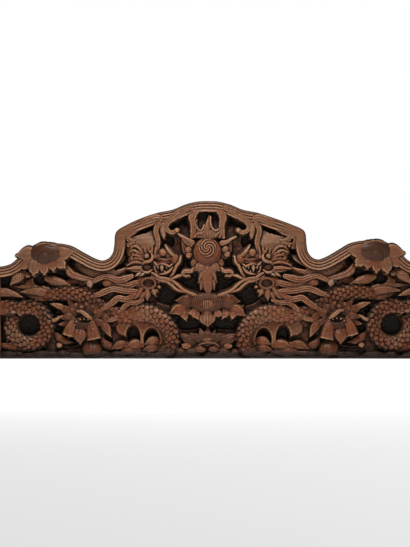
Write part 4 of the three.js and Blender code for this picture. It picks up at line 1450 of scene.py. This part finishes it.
def moulding_tree(material):
    """Lay a closed profile along a curve; the profile's X is height and its Y is distance inwards."""
    inputs = {**GEOMETRY, "Profile": "Object"}
    tree, sockets, start, end = new_tree("Moulding along an edge", "GeometryNodeTree", inputs, GEOMETRY)
    facing = add(tree, "GeometryNodeSetCurveNormal", {"Normal": (0, -1, 0)}, mode="FREE")
    profile = add(tree, "GeometryNodeObjectInfo")
    sweep = add(tree, "GeometryNodeCurveToMesh", {"Fill Caps": True})
    plain = add(tree, "GeometryNodeRealizeInstances")
    finish = add(tree, "GeometryNodeSetMaterial", {"Material": material})
    chain(tree, [start, facing, sweep, plain, finish, end])
    join(tree, [
        [start, "Profile", profile, "Object"],
        [profile, "Geometry", sweep, "Profile Curve"],
    ])
    return tree, sockets["Profile"]


SAME_PLACE = 1e-6  # metres


def solid_object(name, mesh):
    """A closed mesh as an object, with its faces turned outwards."""
    shape = bmesh.new()
    shape.from_mesh(mesh)
    bmesh.ops.remove_doubles(shape, verts=shape.verts, dist=SAME_PLACE)
    bmesh.ops.recalc_face_normals(shape, faces=shape.faces)
    bmesh.ops.triangulate(shape, faces=[f for f in shape.faces if len(f.verts) > 4])
    shape.to_mesh(mesh)
    shape.free()
    return linked(name, mesh)


def moulding(name, path, profile, tree, socket):
    points = np.stack([path[:, 0] * MM, np.full(len(path), BACK_Y), path[:, 1] * MM], axis=1)
    shape = poly_curve(name + "_profile", [[h * MM, d * MM, 0] for d, h in profile], True)
    mesh = grown(poly_curve(name, points, False), tree, [(socket, shape)])
    bpy.data.objects.remove(shape)
    return solid_object(name, mesh)


def lofted(name, rings, faces):
    """A closed mesh through rings of [x, height, z], between the faces given."""
    shape = bmesh.new()
    corners = []
    for ring in rings:
        corners.append([shape.verts.new((x * MM, BACK_Y - high * MM, z * MM)) for x, high, z in ring])
    for face in faces:
        shape.faces.new([corners[ring][i] for ring, i in face])
    mesh = bpy.data.meshes.new(name)
    shape.to_mesh(mesh)
    shape.free()
    return solid_object(name, mesh)


def extruded(name, outline, front, back):
    """A flat plate with an outline in X and Z, between two heights."""
    count = len(outline)
    faces = [[(0, i) for i in range(count)], [(1, i) for i in reversed(range(count))]]
    for i in range(count):
        k = (i + 1) % count
        faces.append([(0, k), (0, i), (1, i), (1, k)])
    return lofted(name, [[[x, high, z] for x, z in outline] for high in (front, back)], faces)


RAIL_SECTION = [[0, 0], [46.5, 0], [48, 1.5], [46.5, 4], [41, 7.5], [0, 9]]  # height, z
RAIL_STEP = 9
RAIL_PAST = 10  # how far the rail is drawn beyond the ends, where it is cut off
RAIL_ROUGH = [-0.7, 0.2]  # how far its front edge wanders
RAIL_WAVE = 0.6  # how far its upper edge wanders
RAIL_FRONT = 40  # what stands further forward is its front edge
RAIL_UPPER = 5  # what lies higher is its upper edge


def rail():
    """The plain strip along the lower edge, cut by hand and so a little uneven."""
    random = np.random.default_rng(11)
    rings = []
    for x in np.arange(-LENGTH / 2 - RAIL_PAST, LENGTH / 2 + RAIL_PAST + 1, RAIL_STEP):
        ring = []
        for high, z in RAIL_SECTION:
            rough = random.uniform(*RAIL_ROUGH)
            out = high + (rough if high > RAIL_FRONT else 0)
            ring.append([x, out, z + (random.uniform(-RAIL_WAVE, RAIL_WAVE) if z > RAIL_UPPER else 0)])
        rings.append(ring)
    count = len(RAIL_SECTION)
    faces = []
    for a in range(len(rings) - 1):
        for i in range(count):
            k = (i + 1) % count
            faces.append([(a, i), (a + 1, i), (a + 1, k), (a, k)])
    faces.append([(0, i) for i in range(count)])
    faces.append([(len(rings) - 1, i) for i in reversed(range(count))])
    return lofted("rail", rings, faces)


def combine(base, others, operation):
    """Join closed meshes to the first object, or cut them with it; the others are removed."""
    for other in others:
        step = base.modifiers.new("Cut", "BOOLEAN")
        step.operation = operation
        step.solver = "MANIFOLD"
        step.object = other
        base.data = evaluated(base)
        bpy.data.objects.remove(other)


FADE_STEPS = 6


def border_runs():
    """Stretches of the outline as [first, last, how smooth], smooth between the ends of each shoulder."""
    lengths = lengths_along(OUTLINE)
    stops = [[0, 0.0]]
    for low, high in (fade_ends(OUTLINE, side) for side in SIDES):
        for k in range(FADE_STEPS):
            at = lengths[low] - FADE * (1 - k / FADE_STEPS)
            stops.append([int(np.searchsorted(lengths, at)), (k + 0.5) / FADE_STEPS])
        stops.append([low, 1.0])
        for k in range(FADE_STEPS):
            at = lengths[high] + FADE * k / FADE_STEPS
            stops.append([int(np.searchsorted(lengths, at)), 1 - (k + 0.5) / FADE_STEPS])
        stops.append([int(np.searchsorted(lengths, lengths[high] + FADE)), 0.0])
    stops.append([len(OUTLINE) - 1, 0.0])
    runs = []
    for (first, share), (last, _) in zip(stops, stops[1:]):
        if last > first:
            runs.append((first, last, float(smoothstep(0, 1, share))))
    return runs


PLANK_INSET = 3
PLANK_FOOT = 5
BETWEEN = [[-LENGTH / 2, -20], [LENGTH / 2, -20], [LENGTH / 2, 500], [-LENGTH / 2, 500]]
BETWEEN_HEIGHTS = [120, -30]


def plank_and_border(material):
    """The plank, its reeded border and its lower rail, as one closed mesh."""
    tree, socket = moulding_tree(material)
    plank_edge = (OUTLINE + INWARD * PLANK_INSET).tolist()
    plank_edge += [[LENGTH * 0.55, PLANK_FOOT], [-LENGTH * 0.55, PLANK_FOOT]]
    whole = extruded("plank", plank_edge, PLANK_THICK, 0)
    parts = []
    for number, (first, last, share) in enumerate(border_runs()):
        stretch = OUTLINE[max(first - 1, 0) : last + 1]
        parts.append(moulding(f"border_{number}", stretch, blended(share), tree, socket))
    combine(whole, parts + [rail()], "UNION")
    combine(whole, [extruded("between", BETWEEN, *BETWEEN_HEIGHTS)], "INTERSECT")
    mesh = whole.data
    bpy.data.objects.remove(whole)
    return mesh


# Dragon scales, each a small shield whose free end stands proud
SCALE_LONG = 15.5
SCALE_WIDE = 15.0
SCALE_PITCH = 10.2
SCALE_GIRTH = 12.0
SCALE_LIFT = 5.2
SCALE_TURN = 0.16  # how far a hand-cut scale may turn, in radians
SCALE_SHIFT = 0.7
SCALE_SPREAD = 0.12
BODY_STRETCH = [0.06, 0.98]  # the shares of the body's path between which scales lie
RING_STRETCH = [0.03, 0.97]
SCALE_ANGLES = (-90, -60, -35, -12, 12, 35, 60, 90)
SCALE_FOOT = -2.5
SCALES_ACROSS = 7
FULL_HALF = 20  # the half width of body that carries scales of full size
STEEPEST = 80  # degrees round the body from its crest
HIDDEN_BY = 2.5  # a scale this far under another form is left out
END_GAP = 9


def scale_rise(x):
    """How high the scale's face stands, a distance along it."""
    return SCALE_LIFT * float(smoothstep(-4, 10, x))


def scale_pattern():
    """One scale in millimetres: its free end points along +X and its face along +Z."""
    shape = bmesh.new()
    outline = [(-SCALE_LONG * 0.3, -SCALE_WIDE * 0.32)]
    for angle in np.radians(SCALE_ANGLES).tolist():
        outline.append((SCALE_LONG * (0.35 + 0.45 * math.cos(angle)), SCALE_WIDE / 2 * math.sin(angle)))
    outline.append((-SCALE_LONG * 0.3, SCALE_WIDE * 0.32))
    foot = [shape.verts.new((x, y, SCALE_FOOT)) for x, y in outline]
    edge = [shape.verts.new((x, y, scale_rise(x) - 0.7)) for x, y in outline]
    inner = [shape.verts.new((x * 0.8 + 0.6, y * 0.72, scale_rise(x) + 0.25)) for x, y in outline]
    middle = shape.verts.new((SCALE_LONG * 0.2, 0, scale_rise(SCALE_LONG * 0.2) + 0.9))
    count = len(outline)
    for i in range(count):
        k = (i + 1) % count
        shape.faces.new((foot[i], foot[k], edge[k], edge[i]))
        shape.faces.new((edge[i], edge[k], inner[k], inner[i]))
        shape.faces.new((inner[i], inner[k], middle))
    shape.faces.new(reversed(foot))
    bmesh.ops.recalc_face_normals(shape, faces=shape.faces)
    mesh = bpy.data.meshes.new("scale_pattern")
    shape.to_mesh(mesh)
    shape.free()
    # The tone paints shade on the scale's foot and edge, and a highlight with wear on its free end
    tip_sheen = [1.0 + float(smoothstep(4, 9, x)) for x, _ in outline]
    scale_shade_and_sheen = np.array([0.0] * count + [0.25] * count + tip_sheen + [1.0])
    store(mesh, "tone", "FLOAT", scale_shade_and_sheen)
    mesh.polygons.foreach_set("use_smooth", np.ones(len(mesh.polygons), bool))
    return linked("scale_pattern", mesh)


def scale_places(points, sizes, side, start, stop, random):
    """Where the scales sit on a round body: their places, the ways they point and face, and their sizes."""
    path = smooth_path(place(points, side), 1.0)
    lengths = lengths_along(path)
    tangents = directions(path)
    rows = []
    total = lengths[-1]
    at = start * total
    odd = False
    while at < stop * total:
        middle = np.array([np.interp(at, lengths, path[:, i]) for i in range(3)])
        aim = np.array([np.interp(at, lengths, tangents[:, i]) for i in range(2)])
        aim /= np.linalg.norm(aim)
        across = np.array([-aim[1], aim[0]])
        half = np.interp(at / total, np.linspace(0, 1, len(sizes)), sizes)
        first = -SCALES_ACROSS / 2 if odd else -(SCALES_ACROSS - 1) / 2
        for k in range(SCALES_ACROSS + odd):
            tilt = math.radians((first + k) * math.degrees(SCALE_GIRTH / half))
            if abs(tilt) > math.radians(STEEPEST):
                continue
            x, z = middle[:2] + across * half * math.sin(tilt)
            high = middle[2] + half * math.cos(tilt)
            facing = (across[0] * math.sin(tilt), -math.cos(tilt), across[1] * math.sin(tilt))
            seen = sampled(landscape, np.array([x]), np.array([z]))[0]
            if abs(seen - high) < HIDDEN_BY and abs(x) < LENGTH / 2 - END_GAP:
                aside = aim + across * random.uniform(-SCALE_TURN, SCALE_TURN)
                spot = np.array([x, high, z]) + random.uniform(-SCALE_SHIFT, SCALE_SHIFT, 3)[[0, 2, 1]]
                size = half / FULL_HALF * random.uniform(1 - SCALE_SPREAD, 1 + SCALE_SPREAD)
                rows.append([*spot, aside[0], 0, aside[1], *facing, size])
        at += SCALE_PITCH * (0.6 + 0.4 * half / FULL_HALF)
        odd = not odd
    return rows


def scale_tree(pattern, material):
    """Set a scale on each point, facing out of the body and lying along it."""
    inputs = {**GEOMETRY, "Scale pattern": "Object", "Millimetre": "Float"}
    tree, sockets, start, end = new_tree("Dragon scales", "GeometryNodeTree", inputs, GEOMETRY)
    info = add(tree, "GeometryNodeObjectInfo")
    seat = add(tree, "GeometryNodeInstanceOnPoints")
    read = {}
    for label, kind in (("facing", "FLOAT_VECTOR"), ("aim", "FLOAT_VECTOR"), ("size", "FLOAT")):
        read[label] = add(tree, "GeometryNodeInputNamedAttribute", {"Name": label}, data_type=kind)
    face = add(tree, "FunctionNodeAlignRotationToVector", axis="Z")
    lie = add(tree, "FunctionNodeAlignRotationToVector", axis="X", pivot_axis="Z")
    sized = add(tree, "ShaderNodeMath", operation="MULTIPLY")
    plain = add(tree, "GeometryNodeRealizeInstances")
    finish = add(tree, "GeometryNodeSetMaterial", {"Material": material})
    join(tree, [
        [start, "Scale pattern", info, "Object"],
        [info, "Geometry", seat, "Instance"],
        [read["facing"], "Attribute", face, "Vector"],
        [face, "Rotation", lie, "Rotation"],
        [read["aim"], "Attribute", lie, "Vector"],
        [lie, "Rotation", seat, "Rotation"],
        [read["size"], "Attribute", sized, 0],
        [start, "Millimetre", sized, 1],
        [sized, "Value", seat, "Scale"],
    ])
    chain(tree, [start, seat, plain, finish, end])
    return tree, [(sockets["Scale pattern"], pattern), (sockets["Millimetre"], MM)]


def dragon_scales(side, tree, values):
    random = np.random.default_rng(41)
    rows = scale_places(BODY_PATH, BODY_SIZES, side, *BODY_STRETCH, random)
    rows += scale_places(RING_PATH, RING_SIZES, side, *RING_STRETCH, random)
    rows = np.array(rows)
    spots = np.column_stack([rows[:, 0] * MM, BACK_Y - rows[:, 1] * MM, rows[:, 2] * MM])
    cloud = bpy.data.meshes.new("scale_seats")
    cloud.from_pydata(spots.tolist(), [], [])
    store(cloud, "aim", "FLOAT_VECTOR", rows[:, 3:6])
    store(cloud, "facing", "FLOAT_VECTOR", rows[:, 6:9])
    store(cloud, "size", "FLOAT", rows[:, 9])
    return grown(linked("scale_seats", cloud), tree, values)


# Finishes
# The stain colour also paints the shade in the hollows and creases
STAIN_AND_PAINTED_SHADE = (0.013, 0.008, 0.0055, 1)
TAN_WOOD = (0.146, 0.064, 0.031, 1)
RED_WOOD = (0.138, 0.036, 0.0115, 1)
DARK_WOOD = (0.052, 0.019, 0.0085, 1)
PALE_WOOD = (0.340, 0.230, 0.150, 1)
# Worn wood, which is also the painted highlight on raised edges
WORN_AND_SHEEN_WOOD = (0.460, 0.235, 0.130, 1)
WHITE = (1, 1, 1, 1)
GRAIN_SCALE = {"Along": 14, "Across": 210}


def ramp(tree, low, high, to_low=0.0, to_high=1.0, **settings):
    """A node that turns one range of values into another."""
    values = {"From Min": low, "From Max": high, "To Min": to_low, "To Max": to_high}
    return add(tree, "ShaderNodeMapRange", values, **settings)


def mix(tree, values=None, **settings):
    """A node that mixes two colours."""
    return add(tree, "ShaderNodeMix", values, data_type="RGBA", **settings)


def wood_grain_group():
    """Long streaks along the plank, with fine pores: a mask, and a height for the bump."""
    inputs = {"Along": "Float", "Across": "Float"}
    outputs = {"Streaks": "Float", "Height": "Float"}
    group, _, start, end = new_tree("Wood grain", "ShaderNodeTree", inputs, outputs)
    where = add(group, "ShaderNodeTexCoord")
    stretch = add(group, "ShaderNodeCombineXYZ")
    scaled = add(group, "ShaderNodeVectorMath", operation="MULTIPLY")
    streaks = add(group, "ShaderNodeTexNoise", {"Scale": 1.0, "Detail": 5.0, "Distortion": 0.6})
    pores = add(group, "ShaderNodeTexNoise", {"Scale": 4.0, "Detail": 2.0})
    both = add(group, "ShaderNodeMath", {1: 0.6}, operation="MULTIPLY_ADD")
    join(group, [
        [start, "Along", stretch, "X"],
        [start, "Across", stretch, "Y"],
        [start, "Across", stretch, "Z"],
        [where, "Object", scaled, 0],
        [stretch, "Vector", scaled, 1],
        [scaled, "Vector", streaks, "Vector"],
        [scaled, "Vector", pores, "Vector"],
        [streaks, "Fac", both, 0],
        [pores, "Fac", both, 2],
        [streaks, "Fac", end, "Streaks"],
        [both, "Value", end, "Height"],
    ])
    return group


def shade_sheen_and_patina_group():
    """Painted shade with dark stain in the recesses and creases, and pale wear with a painted highlight on
    the high edges, over a wood colour.
    """
    inputs = {"Wood": "Color", "Stain and painted shade": "Color", "Worn and sheen": "Color", "Painted light": "Float", "Wear, sheen and crease shade": "Float"}
    group, _, start, end = new_tree("Painted shade and sheen, stain and wear", "ShaderNodeTree", inputs, {"Color": "Color", "Depth": "Float"})
    # Painted shade where little sky is seen and in creases, and wear with a painted highlight on raised edges
    painted_shade_ramp = ramp(group, 0.15, 0.88, interpolation_type="SMOOTHSTEP")
    wear_and_sheen_ramp = ramp(group, 0.0, 0.8, to_high=0.7, interpolation_type="SMOOTHSTEP")
    crease_shade_ramp = ramp(group, -0.05, -0.5, to_high=0.85)
    with_wear_and_sheen = mix(group)
    with_crease_shade = mix(group)
    # deep lays on the painted shade where little sky is seen
    deep = mix(group)
    join(group, [
        [start, "Painted light", painted_shade_ramp, "Value"],
        [start, "Wear, sheen and crease shade", crease_shade_ramp, "Value"],
        [start, "Wear, sheen and crease shade", wear_and_sheen_ramp, "Value"],
        [start, "Wood", with_wear_and_sheen, "A"],
        [start, "Worn and sheen", with_wear_and_sheen, "B"],
        [wear_and_sheen_ramp, "Result", with_wear_and_sheen, "Factor"],
        [with_wear_and_sheen, "Result", with_crease_shade, "A"],
        [start, "Stain and painted shade", with_crease_shade, "B"],
        [crease_shade_ramp, "Result", with_crease_shade, "Factor"],
        [painted_shade_ramp, "Result", deep, "Factor"],
        [start, "Stain and painted shade", deep, "A"],
        [with_crease_shade, "Result", deep, "B"],
        [deep, "Result", end, "Color"],
        [painted_shade_ramp, "Result", end, "Depth"],
    ])
    return group


def teak_material():
    """Oiled teak: tan to red to dark by its warmth, with stain and painted shade in the hollows, and wear
    with painted highlights on the edges.
    """
    material = bpy.data.materials.new("oiled_teak")
    material.use_nodes = True
    tree = material.node_tree
    shader = tree.nodes["Principled BSDF"]
    set_values(shader, {"Coat Weight": 0.02, "Coat Roughness": 0.3, "Specular IOR Level": 0.16})
    grain = add(tree, "ShaderNodeGroup", GRAIN_SCALE, node_tree=wood_grain_group())
    patina_and_painted_light = add(tree, "ShaderNodeGroup", {"Stain and painted shade": STAIN_AND_PAINTED_SHADE, "Worn and sheen": WORN_AND_SHEEN_WOOD}, node_tree=shade_sheen_and_patina_group())
    # Painted shade, and wear with painted highlights and crease shade, stored on each vertex
    painted_light_attribute = add(tree, "ShaderNodeAttribute", attribute_name="painted_light")
    edges = add(tree, "ShaderNodeAttribute", attribute_name="wear_sheen_and_crease_shade")
    warm = add(tree, "ShaderNodeAttribute", attribute_name="warmth")
    where = add(tree, "ShaderNodeTexCoord")
    patches = add(tree, "ShaderNodeTexNoise", {"Scale": 24, "Detail": 3})
    shift = ramp(tree, 0.3, 0.7, -0.5, 0.5)
    redness = add(tree, "ShaderNodeMath", operation="ADD", use_clamp=True)
    hue = mix(tree, {"A": TAN_WOOD, "B": RED_WOOD})
    paleness = ramp(tree, 0.0, -1.0)
    paler = mix(tree, {"B": PALE_WOOD})
    darkness = ramp(tree, 1.0, 2.0)
    darker = mix(tree, {"B": DARK_WOOD})
    tint = ramp(tree, 0.3, 0.7, 0.6, 1.18)
    streaked = mix(tree, {"Factor": 0.8}, blend_type="MULTIPLY")
    # The darker wood gets less of the wear and painted highlight
    keep = add(tree, "ShaderNodeMath", {1: -0.75, 2: 1.0}, operation="MULTIPLY_ADD")
    faded = add(tree, "ShaderNodeMath", operation="MULTIPLY")
    gloss = ramp(tree, 0.0, 1.0, 0.62, 0.40)
    bump = add(tree, "ShaderNodeBump", {"Strength": 0.3, "Distance": 0.001})
    join(tree, [
        [where, "Object", patches, "Vector"],
        [patches, "Fac", shift, "Value"],
        [shift, "Result", redness, 0],
        [warm, "Fac", redness, 1],
        [redness, "Value", hue, "Factor"],
        [warm, "Fac", paleness, "Value"],
        [paleness, "Result", paler, "Factor"],
        [hue, "Result", paler, "A"],
        [warm, "Fac", darkness, "Value"],
        [darkness, "Result", darker, "Factor"],
        [paler, "Result", darker, "A"],
        [grain, "Streaks", tint, "Value"],
        [darker, "Result", streaked, "A"],
        [tint, "Result", streaked, "B"],
        [streaked, "Result", patina_and_painted_light, "Wood"],
        [painted_light_attribute, "Fac", patina_and_painted_light, "Painted light"],
        [darkness, "Result", keep, 0],
        [keep, "Value", faded, 0],
        [edges, "Fac", faded, 1],
        [faded, "Value", patina_and_painted_light, "Wear, sheen and crease shade"],
        [patina_and_painted_light, "Color", shader, "Base Color"],
        [patina_and_painted_light, "Depth", gloss, "Value"],
        [gloss, "Result", shader, "Roughness"],
        [grain, "Height", bump, "Height"],
        [bump, "Normal", shader, "Normal"],
    ])
    return material


teak = teak_material()

# The pieces of the relief, cut where they meet behind the carving
CUTS = {
    "left_coil_and_lotuses": (-LENGTH / 2, -240),
    "left_dragon_and_pearl": (-240, 0),
    "right_dragon_and_pearl": (0, 240),
    "right_coil_and_lotuses": (240, LENGTH / 2),
}
for name, ends in CUTS.items():
    columns = slice(*(int(round((x + LENGTH / 2) / CELL)) for x in ends))
    finished(name, relief_mesh(name, field.height, field_mask, FIELD_BACK, columns), teak)
for side, name in zip(SIDES, ("left_bud_lotus", "right_bud_lotus")):
    bud_height = soften(BUDS[side].height, 0.4)
    finished(name, relief_mesh(name, bud_height, BUDS[side].height > BUD_FOOT + 1, BUD_FOOT), teak)
finished("plank_and_border", plank_and_border(teak), teak, smooth=False)
pattern = scale_pattern()
tree, values = scale_tree(pattern, teak)
for side, name in zip(SIDES, ("left_dragon_scales", "right_dragon_scales")):
    finished(name, dragon_scales(side, tree, values), teak)
bpy.data.objects.remove(pattern)

# The stage: a pale floor, soft light from above the front, and the camera at the photograph's angle
FLOOR = 20
FLOOR_GLOW = 0.6
ROOM_LIGHT = 0.11
AIM = (0, 0, 0.2)
KEY = {"at": (-0.1, -0.60, 1.25), "size": 0.45, "power": 18.5}
FILL = {"at": (1.2, -2.6, 0.9), "size": 1.6, "power": 5}


def stage():
    floor = bpy.data.meshes.new("floor")
    corners = [(-FLOOR, -FLOOR, 0), (FLOOR, -FLOOR, 0), (FLOOR, FLOOR, 0), (-FLOOR, FLOOR, 0)]
    floor.from_pydata(corners, [], [(0, 1, 2, 3)])
    pale = bpy.data.materials.new("pale_floor")
    pale.use_nodes = True
    looks = {"Base Color": WHITE, "Emission Color": WHITE, "Emission Strength": FLOOR_GLOW, "Roughness": 0.9}
    set_values(pale.node_tree.nodes["Principled BSDF"], looks)
    floor.materials.append(pale)
    linked("floor", floor)


def area_light(name, at, size, power):
    """A square lamp that looks at the middle of the crest."""
    data = bpy.data.lights.new(name, "AREA")
    data.size = size
    data.energy = power
    lamp = linked(name, data)
    lamp.location = at
    lamp.rotation_euler = (Vector(AIM) - Vector(at)).to_track_quat("-Z", "Y").to_euler()


def lights():
    area_light("key", **KEY)
    area_light("fill", **FILL)
    world = bpy.data.worlds.new("studio")
    bpy.context.scene.world = world
    world.use_nodes = True
    tree = world.node_tree
    room = tree.nodes["Background"]
    set_values(room, {"Color": WHITE, "Strength": ROOM_LIGHT})
    backdrop = add(tree, "ShaderNodeBackground", {"Color": WHITE})
    seen = add(tree, "ShaderNodeLightPath")
    choice = add(tree, "ShaderNodeMixShader")
    join(tree, [
        [seen, "Is Camera Ray", choice, "Fac"],
        [room, "Background", choice, 1],
        [backdrop, "Background", choice, 2],
        [choice, "Shader", tree.nodes["World Output"], "Surface"],
    ])


PHOTO_WIDE = 1.025  # metres of the rail's plane across the photograph
PHOTO_MIDDLE = (-0.010, 0.2125)
CAMERA_AWAY = 4.0
SENSOR = 36.0


def camera():
    data = bpy.data.cameras.new("camera")
    data.sensor_fit = "HORIZONTAL"
    data.sensor_width = SENSOR
    data.lens = SENSOR * CAMERA_AWAY / PHOTO_WIDE
    made = linked("camera", data)
    made.location = (PHOTO_MIDDLE[0], -CAMERA_AWAY, PHOTO_MIDDLE[1])
    made.rotation_euler = (math.pi / 2, 0, 0)
    bpy.context.scene.camera = made
    bpy.context.scene.view_settings.view_transform = "Standard"


stage()
lights()
camera()
